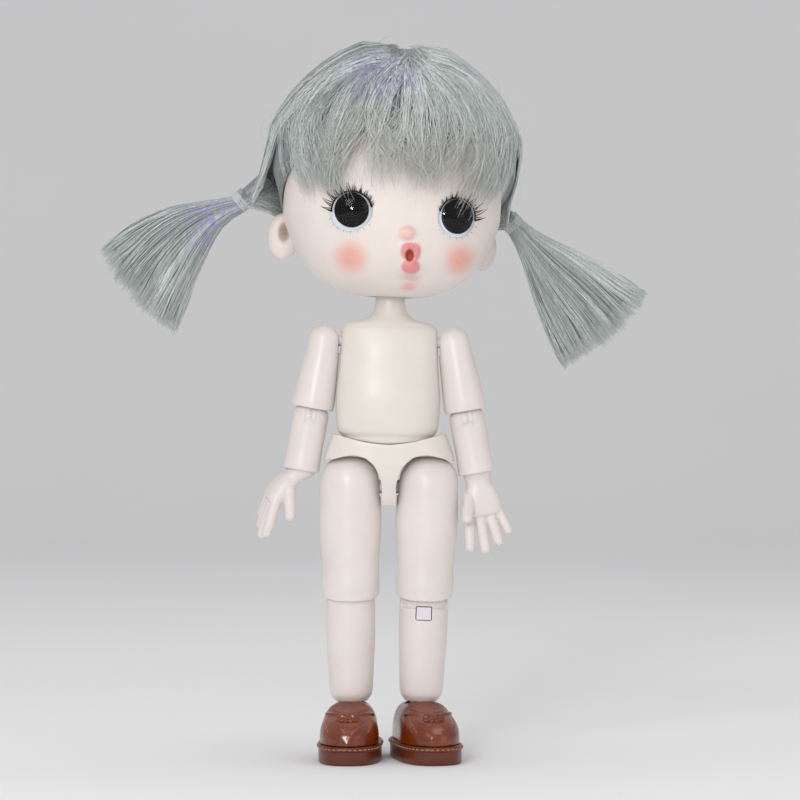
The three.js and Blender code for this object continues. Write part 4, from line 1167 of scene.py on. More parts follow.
@dataclass(frozen=True)
class Arm:
    """One arm: an upper arm in two shells, a forearm, a hand and the pegs between."""

    side: Side
    upper_length: float = 15.3
    forearm_length: float = 13.9
    shoulder_width: float = 7.2
    upper_width: float = 9.4
    forearm_width: float = 7.9
    elbow_drop: float = 2.0
    wrist_sink: float = 0.6
    wrist_width: float = 6.4
    hand_length: float = 17.6
    palm_width: float = 8.6
    palm_depth: float = 4.8
    finger_width: float = 2.6
    finger_length: float = 7.6
    finger_root: float = 0.6
    thumb_length: float = 7.2
    thumb_lean: float = 22.0
    thumb_place: Triple = (-0.62, -0.2, 0.3)
    thumb_width: float = 1.08
    palm_round: float = 2.3
    gap: float = 0.3
    slack: float = 10.0
    shoulder_room: float = 80.0
    wrist_room: float = 24.0
    cuff_share: float = 0.05
    grain: float = 0.16
    shoulder_peg: Peg = Peg(1.2, 7.8, 2.0, 1.0, 1.7, 2.0, 0.8, 4.2)
    elbow_peg: Peg = Peg(0.9, 7.0, 1.5, 0.9, 3.9, 2.2, 0.7, 4.8)
    elbow_fit: float = 0.03
    wrist_peg: Peg = Peg(0.7, 5.0, 1.1, 0.7, 1.0, 1.2, 0.5, 3.0)
    upper_shares: Shares = (
        (0.12, 0.79, 0.82), (0.4, 0.87, 0.9), (0.7, 0.95, 0.97), (0.93, 1, 1), (1, 0.97, 0.97),
    )
    forearm_shares: Shares = (
        (0.25, 1, 1), (0.55, 0.98, 0.98), (0.96, 1.03, 1.03),
    )
    palm_shares: Shares = (
        (0.16, 0.62, 0.84), (0.27, 0.82, 0.94), (0.38, 0.93, 0.98), (0.5, 1, 0.92), (0.57, 0.98, 0.74),
    )
    fingers: tuple[Finger, ...] = (
        Finger(-0.78, -9, 0.97, 1.12),
        Finger(-0.25, -1, 1, 1.24),
        Finger(0.27, 7, 0.96, 1.08),
        Finger(0.75, 16, 0.86, 0.82),
    )

    @property
    def wrist_turn(self) -> Triple:
        """How the wrist peg stands: the left one bends to the front and back, the right to the sides."""
        return UPRIGHT_TO_FRONT if self.side is Side.LEFT else UPRIGHT_ACROSS

    @property
    def hand_turn(self) -> tuple[float, float]:
        """How far the hand twists about its own length and then tips over, in degrees."""
        return (10.0, 0.0) if self.side is Side.LEFT else (110.0, 33.5)

    @property
    def curls(self) -> tuple[float, float]:
        """How far the fingers and the thumb lean forward."""
        return (-6.0, -32.0) if self.side is Side.LEFT else (-27.0, -42.0)

    def upper(self) -> Piece:
        """The upper arm about the shoulder."""
        top, cuff = self.shoulder_width / 2, self.upper_width / 2
        rings = dome_rings(top, Ring(0, top, top, top))
        rings += stacked(self.upper_shares, -self.upper_length, cuff, cuff, cuff)
        made = loft(f"{self.side.value}_upper_arm", rings, top, -self.upper_length, 56)
        elbow = (0, 0, -self.upper_length - self.elbow_drop)
        opening = self.forearm_width / 2 + self.gap
        cuff_ends = (-self.upper_length * (1 + self.cuff_share), -self.upper_length * (1 - self.cuff_share))
        cup = rod("Z", opening, *cuff_ends, 48)
        worked(cup, Cut.JOIN, ball(opening, elbow, sides=48))
        slot = self.shoulder_peg.slot(self.shoulder_width, -self.slack, self.shoulder_room)
        turned_by(slot, side_turn(self.side))
        bore = turned_by(self.elbow_peg.bore(), UPRIGHT_TO_FRONT, elbow)
        worked(made, Cut.AWAY, cup, slot, bore)
        return moulded(made, self.grain, 4)

    def forearm(self) -> Piece:
        """The forearm about the elbow."""
        half = self.forearm_width / 2
        length = self.forearm_length - self.elbow_drop
        rings = dome_rings(half, Ring(0, half, half, half))
        rings += stacked(self.forearm_shares, -length, half, half, half)
        rings.append(Ring(-length, half, half, half))
        made = loft(f"{self.side.value}_forearm_shell", rings, half, -length, 56)
        wrist = (0, 0, -length + self.wrist_sink)
        slot = turned_by(self.elbow_peg.slit(self.elbow_fit), UPRIGHT_TO_FRONT)
        cup = ball(self.wrist_width / 2 + self.gap, wrist, sides=40)
        bore = turned_by(self.wrist_peg.bore(), self.wrist_turn, wrist)
        worked(made, Cut.AWAY, cup, bore)
        return worked(moulded(made, self.grain, 3), Cut.AWAY, slot)

    def finger(self, length: float, radius: float) -> Piece:
        """A finger hanging down from its root, with a soft knuckle and a round tip."""
        profile = [(0.0, radius * 0.9), (radius * 0.75, radius * 0.5), (radius, -length * 0.06),
                   (radius * 0.94, -length * 0.3), (radius * 0.97, -length * 0.48), (radius * 0.9, -length * 0.7)]
        tip = radius * 0.86
        for step in range(5):
            angle = math.pi / 2 * step / 4
            profile.append((tip * math.cos(angle), -length + tip * (1 - math.sin(angle))))
        profile[-1] = (0.0, -length)
        return turned("finger", profile, 20)

    def hand(self) -> Piece:
        """The hand about the wrist, made with its thumb on the -X side, then turned."""
        curl, thumb_curl = self.curls
        wrist, across, deep = self.wrist_width / 2, self.palm_width / 2, self.palm_depth / 2
        rings = dome_rings(wrist, Ring(0, wrist, wrist, wrist))
        rings += stacked(self.palm_shares, -self.hand_length, across, deep, deep, self.palm_round)
        made = loft(f"{self.side.value}_hand_form", rings, wrist, -self.hand_length * self.finger_root, 48)
        root = -self.hand_length * self.finger_root + self.finger_width / 2
        tools = []
        for finger in self.fingers:
            form = self.finger(self.finger_length * finger.length, self.finger_width / 2 * finger.width)
            tools.append(turned_by(form, (curl, -finger.lean, 0), (across * finger.place, 0, root)))
        x, y, z = self.thumb_place
        thumb = self.finger(self.thumb_length, self.finger_width / 2 * self.thumb_width)
        tools.append(turned_by(thumb, (thumb_curl, self.thumb_lean, 0), (across * x, deep * y, -self.hand_length * z)))
        worked(made, Cut.JOIN, *tools)
        twist, tip = self.hand_turn
        turned_by(turned_by(made, (0, 0, twist)), (0, tip, 0))
        slot = self.wrist_peg.slot(self.wrist_width, -self.wrist_room, self.wrist_room)
        worked(made, Cut.AWAY, turned_by(slot, self.wrist_turn))
        return moulded(made, self.grain * 0.75, 5)

    def build(self, kit: Kit) -> None:
        """Adds the arm."""
        word = self.side.value
        shoulder = kit.stance.arm(self.side, "shoulder_swing")
        elbow = kit.stance.arm(self.side, "elbow_bend")
        wrist = kit.stance.arm(self.side, "wrist_bend")
        torso = replace(kit.stance.torso(), origin=shoulder.origin)
        kit.shells(self.upper(), shoulder, f"{word}_upper_arm", kit.skin)
        kit.pin(self.shoulder_peg, side_turn(self.side), torso, f"{word}_shoulder_joint")
        kit.pin(self.elbow_peg, UPRIGHT_TO_FRONT, elbow, f"{word}_elbow_joint", kit.skin)
        kit.pin(self.wrist_peg, self.wrist_turn, wrist, f"{word}_wrist_peg")
        for form, place, node in ((self.forearm(), elbow, "forearm"), (self.hand(), wrist, "hand")):
            fitted(form, place, f"{word}_{node}", kit.skin, [f"{word}_{node}"])


# Head


@dataclass(frozen=True)
class Mound:
    """A soft swelling of the face, or a hollow where its rise is negative, oval from the front."""

    x: float
    z: float
    wide: float
    high: float
    rise: float
    edge: float = 1.0
    lean: float = 0.0

    def height(self, points: Array) -> Array:
        """How far each point is pushed forward in millimetres."""
        turn = math.radians(self.lean)
        x, z = points[:, 0] - self.x, points[:, 2] - self.z
        across = (x * math.cos(turn) + z * math.sin(turn)) / self.wide
        along = (z * math.cos(turn) - x * math.sin(turn)) / self.high
        return self.rise * np.exp(-((across**2 + along**2) ** self.edge))


@dataclass(frozen=True)
class Dab:
    """A spot of blended colour on the face, paint or painted shade, in head millimetres, with its stretch across and
    up.
    """

    place: Triple
    inner: float
    outer: float
    colour: Colour
    strength: float
    stretch: Triple = (1.0, 0.5, 1.0)


BLUSH: Colour = (0.86, 0.30, 0.22)
ROSE: Colour = (0.80, 0.24, 0.24)
FACE_DABS = (
    Dab((-11.6, -16.8, 4.4), 0.6, 5.4, BLUSH, 0.72),
    Dab((12.6, -16.2, 5.4), 0.6, 5.4, BLUSH, 0.72),
    Dab((-0.4, -22.0, 10.2), 1.3, 2.3, (0.88, 0.42, 0.36), 0.5, (1.0, 0.4, 1.25)),
    Dab((-0.3, -21.5, 6.3), 1.0, 1.7, ROSE, 0.85, (1.15, 0.3, 0.72)),
    Dab((1.8, -21.5, 6.3), 1.0, 1.7, ROSE, 0.85, (1.15, 0.3, 0.72)),
    # Painted shadow under the lower lip.
    Dab((1.4, -19.0, 0.6), 0.5, 3.2, (0.50, 0.27, 0.22), 0.4, (0.9, 0.2, 1.6)),
    Dab((1.1, -20.5, 3.1), 1.7, 2.5, (0.84, 0.25, 0.26), 0.9, (1.0, 0.3, 1.3)),
    Dab((0.6, -21.5, 7.4), 0.6, 1.3, ROSE, 0.8, (1.0, 0.3, 1.1)),
    Dab((0.78, -19.5, 5.5), 0.8, 1.25, (0.42, 0.06, 0.02), 0.95, (1.05, 0.12, 0.8)),
    Dab((1.4, -16.5, -1.2), 0.5, 2.6, (0.84, 0.33, 0.32), 0.75, (0.9, 0.3, 1.5)),
    # Painted shade in the hollow of each ear.
    Dab((-23.2, 8.0, 10.7), 0.5, 2.5, (0.26, 0.11, 0.07), 0.9, (1.4, 0.4, 0.75)),
    Dab((22.0, 8.0, 10.7), 0.5, 2.5, (0.26, 0.11, 0.07), 0.8, (1.4, 0.4, 0.75)),
)


@dataclass(frozen=True)
class FaceFinish:
    """Pale vinyl with painted nose, lips, chin and blush, and painted shade under the lower lip and in the ears."""

    plastic: Plastic
    dabs: tuple[Dab, ...]

    def build(self, place: Place) -> Finish:
        """The material.

        Args:
            place: The head's place, which the dabs are measured in.

        Returns:
            The material with every dab mixed over the plastic.
        """
        made = self.plastic.shader()
        colour = made.surface.inputs["Base Color"].links[0].from_socket
        mottle = made.noise(0.0012, 3)
        for dab in self.dabs:
            away = made.maths("SUBTRACT", made.place(), place.at(*dab.place), vector=True)
            length = made.maths("LENGTH", made.maths("MULTIPLY", away, dab.stretch, vector=True), vector=True)
            share = made.ranged(length, dab.inner * MM, dab.outer * MM, dab.strength, 0, True)
            grain = made.maths("MULTIPLY", share, made.ranged(mottle, 0.2, 0.6, 0.86, 1.0))
            colour = made.mixed(grain, colour, dab.colour)
        made.feed("Base Color", colour)
        return made.material


@dataclass(frozen=True)
class Head:
    """The hollow head in a face and a back, with ears, open eyes and a moulded nose and mouth."""

    height: float = 52.7
    width: float = 48.0
    front: float = 22.0
    back: float = 22.5
    chin: float = 3.4
    offset: float = -0.6
    wall: float = 1.6
    split: float = 14.0
    round: float = 2.25
    eye_spacing: float = 20.35
    eye_offset: float = -0.78
    eye_rise: float = 14.5
    eye_sink: float = 15.4
    eye_turn: float = 17.0
    opening_width: float = 9.0
    opening_height: float = 8.2
    eye_radius: float = 5.9
    ear_height: float = 10.6
    ear_width: float = 3.6
    ear_depth: float = 2.3
    ear_back: float = 11.0
    ear_rise: float = 9.8
    ear_set: float = 0.94
    concha_out: float = 0.1
    concha_rise: float = 0.9
    concha_size: Triple = (1.35, 1.2, 2.5)
    neck_wall: float = 7.5
    neck_wall_top: float = 4.0
    throat: float = 5.0
    throat_top: float = -0.8
    socket: float = 3.3
    eye_fit: float = 0.06
    fine_x: float = 0.6
    fine_reach: float = 4.6
    fine_low: float = -2.6
    fine_high: float = 13.0
    grain: float = 0.36
    shares: Shares = (
        (0.975, 0.37, 0.36, 0.38), (0.925, 0.58, 0.56, 0.58), (0.85, 0.75, 0.73, 0.76),
        (0.77, 0.86, 0.85, 0.87), (0.68, 0.93, 0.93, 0.94), (0.58, 0.975, 0.98, 0.99), (0.47, 0.998, 1, 1),
        (0.36, 1, 1, 0.95), (0.29, 0.967, 0.985, 0.88), (0.23, 0.915, 0.95, 0.8), (0.17, 0.85, 0.89, 0.71),
        (0.11, 0.745, 0.79, 0.61), (0.05, 0.56, 0.62, 0.48), (0.015, 0.36, 0.42, 0.34),
    )
    mounds: tuple[Mound, ...] = (
        Mound(-0.4, 10.2, 1.9, 1.35, 1.15, 1.5),
        Mound(0.7, 4.9, 3.6, 4.6, 0.5),
        Mound(-0.15, 5.9, 1.1, 1.9, 0.85, 1.3, 14),
        Mound(1.7, 6.1, 1.05, 1.8, 0.85, 1.3, -14),
        Mound(0.6, 7.35, 1.1, 0.8, 0.6, 1.3),
        Mound(1.1, 3.15, 2.15, 1.5, 1.45, 1.4),
        Mound(0.78, 5.45, 0.78, 1.15, -1.5, 1.5, 4),
        Mound(1.4, 0.75, 2.4, 0.75, -0.6, 1.2),
        Mound(1.4, -1.2, 2.0, 1.2, 0.3),
        Mound(0.0, 8.3, 1.1, 0.7, -0.25),
    )

    def shape(self, grown: float, sides: int) -> Piece:
        """The head's plain form, swelled or drawn in by one distance all round."""
        low, high = -self.chin - grown, self.height - self.chin + grown
        half, front, back = (size + grown for size in (self.width / 2, self.front, self.back))
        rings = stacked(self.shares, self.height + grown * 2, half, front, back, self.round, low, self.offset)
        return loft("head", rings, high, low, sides)

    def ear(self, side: Side, grown: float = 0.0) -> Piece:
        """One ear, an oval set into the side of the head."""
        radius = self.ear_height / 2
        place = (self.offset + side.sign * self.width / 2 * self.ear_set, self.ear_back, self.ear_rise)
        scale = ((self.ear_width + grown) / radius, (self.ear_depth + grown) / radius, 1 + grown / radius)
        return ball(radius, place, scale, 40)

    def concha(self, side: Side) -> Piece:
        """The hollow in the front of an ear."""
        x = self.offset + side.sign * (self.width / 2 * self.ear_set + self.concha_out)
        place = (x, self.ear_back - self.ear_depth, self.ear_rise + self.concha_rise)
        return ball(1.0, place, self.concha_size, 24)

    def eye_place(self, side: Side) -> Triple:
        """The middle of one eyeball in the head."""
        return (self.eye_offset + side.sign * self.eye_spacing / 2, -self.eye_sink, self.eye_rise)

    def eye_hole(self, side: Side) -> Piece:
        """The oval opening of one eye, from the front into the shell."""
        tool = rod("Y", 1.0, -self.front, 0, 64)
        shift(tool, Matrix.Diagonal((self.opening_width / 2, 1, self.opening_height / 2, 1)))
        return turned_by(tool, (0, 0, side.sign * self.eye_turn), self.eye_place(side))

    def sculpted(self, form: Piece) -> Piece:
        """Refines the mouth and nose and raises the face's details.

        Args:
            form: The even head form, changed in place.

        Returns:
            The same form.
        """
        fine = bmesh.new()
        fine.from_mesh(form.data)
        for _ in range(2):
            near = [
                edge for edge in fine.edges
                if all(v.co.y < 0 and abs(v.co.x - self.fine_x) < self.fine_reach
                       and self.fine_low < v.co.z < self.fine_high for v in edge.verts)
            ]
            bmesh.ops.subdivide_edges(fine, edges=near, cuts=1, use_grid_fill=True)
        fine.to_mesh(form.data)
        fine.free()
        count = len(form.data.vertices)
        points = np.empty(count * 3)
        form.data.vertices.foreach_get("co", points)
        points = points.reshape(-1, 3)
        push = sum(mound.height(points) for mound in self.mounds)
        points[:, 1] -= np.where(points[:, 1] < 0, push, 0)
        form.data.vertices.foreach_set("co", points.ravel())
        form.data.update()
        return form

    def form(self) -> Piece:
        """The whole hollow head about the neck ball, facing -Y."""
        made = self.shape(0, 128)
        worked(made, Cut.JOIN, *(self.ear(side) for side in Side))
        worked(made, Cut.AWAY, *(self.concha(side) for side in Side), *(self.eye_hole(side) for side in Side))
        moulded(made, self.grain, 3)
        self.sculpted(made)
        hollow = self.shape(-self.wall, 64)
        worked(hollow, Cut.AWAY, rod("Z", self.neck_wall, -self.chin, self.neck_wall_top, 48))
        throat = rod("Z", self.throat, -self.chin * 3, self.throat_top, 48)
        eyes = [ball(self.eye_radius + self.eye_fit, self.eye_place(side), sides=72) for side in Side]
        return worked(made, Cut.AWAY, hollow, ball(self.socket, sides=40), throat, *eyes)

    def build(self, kit: Kit, face: Finish) -> None:
        """Adds the face and the back of the head."""
        kit.shells(self.form(), kit.stance.head(), "head", face, "face", self.split, 50)


# Fine tubes: lashes, thread and hair


def tubes(name: str, paths: Array, radii: Array, sides: int = 3, tones: Array | None = None) -> Piece:
    """Closed tubes along paths that all have the same number of points.

    Args:
        name: The object's name.
        paths: An array of tubes, points and X, Y, Z.
        radii: The radius at each point of each tube.
        sides: Sides of a tube.
        tones: One number from 0 to 1 for each tube, kept as the attribute 'tone'.

    Returns:
        The mesh, whose attribute 'along' grows from 0 at the root to 1 at the tip.
    """
    count, steps = paths.shape[:2]
    along = np.gradient(paths, axis=1)
    along /= np.linalg.norm(along, axis=2, keepdims=True) + 1e-9
    least = np.argmin(np.abs(along.mean(axis=1)), axis=1)
    seed = np.eye(3)[least][:, None, :]
    side = np.cross(along, np.broadcast_to(seed, along.shape))
    side /= np.linalg.norm(side, axis=2, keepdims=True) + 1e-9
    up = np.cross(along, side)
    angle = np.linspace(0, 2 * math.pi, sides, endpoint=False)
    ring = side[:, :, None, :] * np.cos(angle)[:, None] + up[:, :, None, :] * np.sin(angle)[:, None]
    points = paths[:, :, None, :] + ring * radii[:, :, None, None]
    base = (np.arange(count) * steps * sides)[:, None, None]
    row = (np.arange(steps - 1) * sides)[None, :, None]
    column = np.arange(sides)[None, None, :]
    after = (column + 1) % sides
    quads = np.stack([base + row + column, base + row + after, base + row + sides + after,
                      base + row + sides + column], axis=-1).reshape(-1, 4)
    ends = (base[:, 0] + np.arange(sides)[None, ::-1]).tolist()
    tips = (base[:, 0] + (steps - 1) * sides + np.arange(sides)[None, :]).tolist()
    piece = mesh_object(name, points.reshape(-1, 3), [*quads.tolist(), *ends, *tips])
    shade = np.repeat(tones if tones is not None else np.zeros(count), steps * sides)
    run = np.tile(np.repeat(np.linspace(0, 1, steps), sides), count)
    for label, values in (("tone", shade), ("along", run)):
        piece.data.attributes.new(label, "FLOAT", "POINT").data.foreach_set("value", values.astype(np.float32))
    piece.data.shade_smooth()
    return piece


# Eyes


@dataclass(frozen=True)
class IrisFinish:
    """A nearly black iris with faint spokes."""

    dark: Colour = (0.0015, 0.0013, 0.0015)
    light: Colour = (0.007, 0.005, 0.005)
    spokes: float = 0.0005

    def build(self) -> Finish:
        """The material."""
        made = Shader("iris_paint")
        made.mottle(self.spokes, 4, (0.4, self.dark), (0.75, self.light))
        made.set(Roughness=0.6, Specular_IOR_Level=0.0)
        return made.material


@dataclass(frozen=True)
class GlassFinish:
    """The clear dome over an iris."""

    roughness: float = 0.0
    bending: float = 1.36

    def build(self) -> Finish:
        """The material."""
        made = Shader("eye_dome")
        made.set(Roughness=self.roughness, Transmission_Weight=1.0, IOR=self.bending)
        made.mottle(0.002, 2, (0.3, (0.93, 0.95, 1.0)), (0.7, (1.0, 1.0, 1.0)))
        return made.material


@dataclass(frozen=True)
class Lashes:
    """Upper lashes in spiky groups along the rim of an eye, and a few faint lower ones."""

    across: float = 4.35
    up: float = 4.0
    forward: float = 5.2
    lift: float = 0.55
    low_angle: float = -8.0
    high_angle: float = 168.0
    count: int = 33
    length: float = 1.7
    thickness: float = 0.12
    lower_count: int = 9
    lower_angles: tuple[float, float] = (205.0, 335.0)
    lower_length: float = 0.6
    lower_lift: float = 0.9

    def paths(self, side: Side, rng: Random) -> tuple[Array, Array]:
        """The lash curves and their radii, in the eye's own place."""
        runs, radii = [], []
        for upper, count in ((True, self.count), (False, self.lower_count)):
            for n in range(count):
                share = n / (count - 1)
                low, high = (self.low_angle, self.high_angle) if upper else self.lower_angles
                angle = math.radians(low + (high - low) * share + rng.uniform(-2, 2))
                outer = 1.0 - share if upper else 0.5
                size = (self.length * (0.5 + 0.85 * outer) if upper else self.lower_length) * rng.uniform(0.6, 1.15)
                tuft = 16.0 * (1 - n % 3) if upper else 0.0
                lean = angle + math.radians(tuft - 14 * (share - 0.2) * (1 if upper else 0))
                out = np.array([side.sign * math.cos(lean), 0.0, math.sin(lean)])
                rim = 1.0 if upper else 1.15
                root = np.array([side.sign * self.across * math.cos(angle), 0, self.up * math.sin(angle)]) * rim
                t = np.linspace(0, 1, 8)[:, None]
                bow = np.array([0, -1.0, 0]) * np.sin(t * 1.7) * size * (0.55 if upper else 0.25)
                rise = np.array([0, 0, 1.0]) * t**2 * size * (0.28 if upper else -0.1)
                start = np.array([0, -self.forward + (self.lift if upper else self.lower_lift), 0])
                runs.append(start + root + out * t**1.25 * size + bow + rise)
                thick = self.thickness * (1 if upper else 0.45)
                radii.append(thick * (1 - 0.8 * t[:, 0] ** 1.4))
        return np.array(runs), np.array(radii)

    def line(self, side: Side) -> tuple[Array, Array]:
        """The dark strip that the upper lashes grow from."""
        angle = np.radians(np.linspace(self.low_angle, self.high_angle, 30))
        points = np.stack([side.sign * self.across * np.cos(angle), np.full(30, -self.forward + self.lift),
                           self.up * np.sin(angle)], axis=-1)
        return points[None], np.full((1, 30), self.thickness * 1.5)


@dataclass(frozen=True)
class Eye:
    """One glass eye: eyeball, iris, dome and lashes about the eyeball's middle."""

    side: Side
    radius: float = 5.9
    iris: float = 3.6
    seat: float = 3.7
    thickness: float = 0.6
    fit: float = 0.2
    bulge: float = 0.35
    back_share: float = 0.25
    lashes: Lashes = Lashes()

    def build(self, kit: Kit, head: Head, finishes: Sequence[Finish], rng: Random) -> None:
        """Adds the eye.

        Args:
            kit: What the doll is built with.
            head: The head that it looks out of.
            finishes: The white, the iris, the dome and the lash materials.
            rng: Source of the lashes' unevenness.
        """
        word = self.side.value
        place = kit.stance.head().moved(*head.eye_place(self.side), (0, 0, self.side.sign * head.eye_turn))
        far = self.radius * 2
        white = ball(self.radius, sides=72)
        pocket = rod("Y", self.iris + self.fit, -far, -self.seat, 64)
        worked(white, Cut.AWAY, block((-far, -self.radius * self.back_share, -far), (far, far, far)), pocket)
        back = -self.seat - self.fit
        iris = rod("Y", self.iris, back - self.thickness, back, 64)
        dome = ball(self.radius + self.bulge, sides=96)
        worked(dome, Cut.KEEP, rod("Y", self.iris + self.fit / 2, -far, back - self.thickness / 2, 64))
        paths, radii = self.lashes.paths(self.side, rng)
        lashes = tubes(f"{word}_lashes", paths, radii, 4)
        strip = tubes(f"{word}_lash_line", *self.lashes.line(self.side), 6)
        rows = (
            (white, "eye_white", "eye_white", "eyeball"),
            (iris, "eye_dark", "eye_iris", "iris_disc"),
            (dome, "eye_clear", "eye_dome", "cornea"),
            (lashes, "lash_fibre", "eyelashes", "lashes"),
        )
        for (piece, slot, node, name), finish in zip(rows, finishes):
            piece.name = f"{word}_{name}"
            fitted(piece, place, "head", finish, [f"{word}_{node}"])
        fitted(strip, place, "head", finishes[-1], [], None)


# Feet and shoes


@dataclass(frozen=True)
class LeatherFinish:
    """Glossy red-brown shoe vinyl with a fine grain."""

    name: str
    dark: Colour
    light: Colour
    roughness: float = 0.3
    coat: float = 0.35
    grain: float = 0.0005

    def build(self) -> Finish:
        """The material."""
        made = Shader(self.name)
        made.mottle(0.006, 3, (0.3, self.dark), (0.7, self.light))
        gloss = made.ranged(made.noise(0.002, 3), 0.3, 0.7, self.roughness - 0.05, self.roughness + 0.08)
        made.feed("Roughness", gloss)
        made.set(Coat_Weight=self.coat, Coat_Roughness=0.12)
        made.relief(made.noise(self.grain, 3), 0.00003, 0.6)
        return made.material


@dataclass(frozen=True)
class Shoe:
    """One foot in its shoe: a moulded upper with a tongue and bow, and a welted sole."""

    side: Side
    sole_thickness: float = 4.0
    length: float = 28.0
    width: float = 14.2
    heel_back: float = 9.5
    wall: float = 0.9
    upper_height: float = 8.5
    upper_width: float = 13.0
    collar: float = 3.5
    neck: float = 2.2
    ankle_height: float = 13.0
    ankle_room: float = 28.0
    ankle_ball: float = 2.5
    round: float = 2.9
    sole_round: float = 2.7
    middle_share: float = 0.05
    gap: float = 0.3
    left_out: float = 13.0
    right_out: float = -2.0
    tongue_width: float = 5.5
    tongue_reach: float = 6.6
    tongue_back: float = 4.0
    seam_inset_width: float = 0.72
    seam_inset_reach: float = 0.8
    bow_forward: float = 12.3
    bow_size: float = 1.3
    stitches: int = 60
    stitch_rise: float = 3.5
    seam_stitches: int = 9
    seam_width: float = 4.3
    seam_spread: float = 0.6
    seam_from: float = 7.0
    seam_run: float = 7.5
    grain: float = 0.16
    ankle_peg: Peg = Peg(0.9, 5.0, 1.4, 0.8, 1.1, 1.4, 0.5, 2.6)
    shares: Shares = (
        (0.02, 0.3, 0.3), (0.09, 0.62, 0.48), (0.2, 0.88, 0.64), (0.34, 1, 0.78), (0.44, 0.98, 0.9),
        (0.53, 0.95, 1), (0.7, 0.9, 0.98), (0.84, 0.84, 0.95), (0.95, 0.62, 0.9),
    )
    sole_shares: Shares = (
        (1, 0.965), (0.97, 0.98), (0.86, 0.99), (0.78, 0.985), (0.74, 0.968), (0.12, 0.963), (0.03, 0.95),
        (0, 0.925),
    )

    @property
    def turn(self) -> float:
        """How far the toe is turned, in degrees."""
        return self.left_out if self.side is Side.LEFT else self.right_out

    def shape(self, inward: float) -> Piece:
        """The shoe's form above its sole, drawn in by a distance."""
        toe = self.length - self.heel_back - self.wall
        run = self.length - self.wall * 2
        middle = self.upper_height * self.middle_share
        rings = [
            Ring(toe - inward - (run - inward * 2) * back, (self.upper_width / 2 - inward) * wide,
                 self.upper_height / 2, self.upper_height * high - middle - inward, self.round, 0, middle)
            for back, wide, high in self.shares
        ]
        made = loft("shoe", rings, toe - inward, toe - run + inward, 72)
        turned_by(made, (90, 0, 0))
        reach = self.length * 2
        return worked(made, Cut.AWAY, block((-reach, -reach, -reach), (reach, reach, 0)))

    def upper(self) -> Piece:
        """The upper with its tongue edge, the seam inside it and the bow."""
        made = self.shape(0)
        surface = Surface.of(made)
        angles = np.radians(np.linspace(-68, 68, 40))
        lines = []
        for wide, far in ((1, 1), (self.seam_inset_width, self.seam_inset_reach)):
            across, along = self.tongue_width * wide, self.tongue_reach * far
            lines.append([surface.below(across * math.sin(a), -self.tongue_back - along * math.cos(a)) for a in angles])
        ridges = tubes("ridges", np.array(lines), np.tile([[0.46], [0.2]], (1, len(angles))), 8)
        knot = Vector(surface.below(0, -self.bow_forward))
        size = self.bow_size
        loops = []
        for sign in (-1, 1):
            loop = ball(1.0, (0, 0, 0), (size, size * 0.42, size * 0.62), 20)
            turned_by(loop, (0, sign * 14, 0), knot + Vector((sign * size * 0.95, -0.1, 0.45)))
            end = ball(1.0, (0, 0, 0), (size * 0.3, size * 0.25, size * 0.85), 16)
            turned_by(end, (25, -sign * 28, 0), knot + Vector((sign * size * 0.5, -0.55, -0.35)))
            loops += [loop, end]
        loops.append(ball(size * 0.44, knot + Vector((0, -0.25, 0.4)), sides=16))
        hollow = self.shape(self.wall)
        collar = rod("Z", self.collar, 0, self.upper_height * 2, 56)
        worked(made, Cut.JOIN, ridges, *loops)
        worked(made, Cut.AWAY, hollow, collar)
        moulded(made, self.grain, 3)
        made.name = f"{self.side.value}_shoe_vamp"
        return self.seated(made)

    def seated(self, piece: Piece) -> Piece:
        """A piece of the upper lifted to just above the sole."""
        return shift(piece, Matrix.Translation((0, 0, self.sole_thickness + self.gap * 0.4)))

    def outline(self, spread: float, count: int) -> Array:
        """Points round the sole at a spread, as X and Y."""
        angle = np.linspace(0, 2 * math.pi, count, endpoint=False)
        roundness = np.full_like(angle, self.sole_round)
        x = self.width / 2 * spread * bent(np.cos(angle), roundness)
        y = self.heel_back - self.length / 2 + self.length / 2 * spread * bent(np.sin(angle), roundness)
        return np.stack([x, y], axis=-1)

    def sole(self) -> Piece:
        """The sole with a rolled welt."""
        middle = self.heel_back - self.length / 2
        rings = [
            Ring(self.sole_thickness * high, self.width / 2 * spread, self.length / 2 * spread,
                 self.length / 2 * spread, self.sole_round, 0, middle)
            for high, spread in self.sole_shares
        ]
        return loft(f"{self.side.value}_welted_sole", rings, self.sole_thickness, 0, 120, 2)

    def welt_stitches(self) -> Piece:
        """The row of stitches round the welt."""
        path = self.outline(0.992, 720)
        steps = np.linalg.norm(np.diff(path, axis=0, append=path[:1]), axis=1)
        run = np.concatenate([[0], np.cumsum(steps)[:-1]])
        total = steps.sum()
        size = total / self.stitches
        threads = []
        for n in range(self.stitches):
            place = (size * n + np.linspace(0.14, 0.86, 7) * size) % total
            x, y = np.interp(place, run, path[:, 0]), np.interp(place, run, path[:, 1])
            threads.append(np.stack([x, y, np.full(7, self.stitch_rise)], axis=-1))
        radii = np.tile(0.2 * np.array([0.35, 0.8, 1, 1, 1, 0.8, 0.35]), (self.stitches, 1))
        return tubes(f"{self.side.value}_welt_stitches", np.array(threads), radii, 6)

    def vamp_stitches(self) -> Piece:
        """The two rows of stitches that run down the upper's sides."""
        surface = Surface.left_by(self.shape(0))
        threads = []
        for sign in (-1, 1):
            for n in range(self.seam_stitches):
                share = (n + np.linspace(0.15, 0.8, 5)) / self.seam_stitches
                x = sign * (self.seam_width + self.seam_spread * np.sin(share * math.pi))
                y = -self.seam_from - share * self.seam_run
                threads.append([surface.below(float(a), float(b)) for a, b in zip(x, y)])
        radii = np.tile(0.16 * np.array([0.4, 0.9, 1, 0.9, 0.4]), (len(threads), 1))
        made = tubes(f"{self.side.value}_vamp_stitches", np.array(threads), radii, 6)
        return self.seated(made)

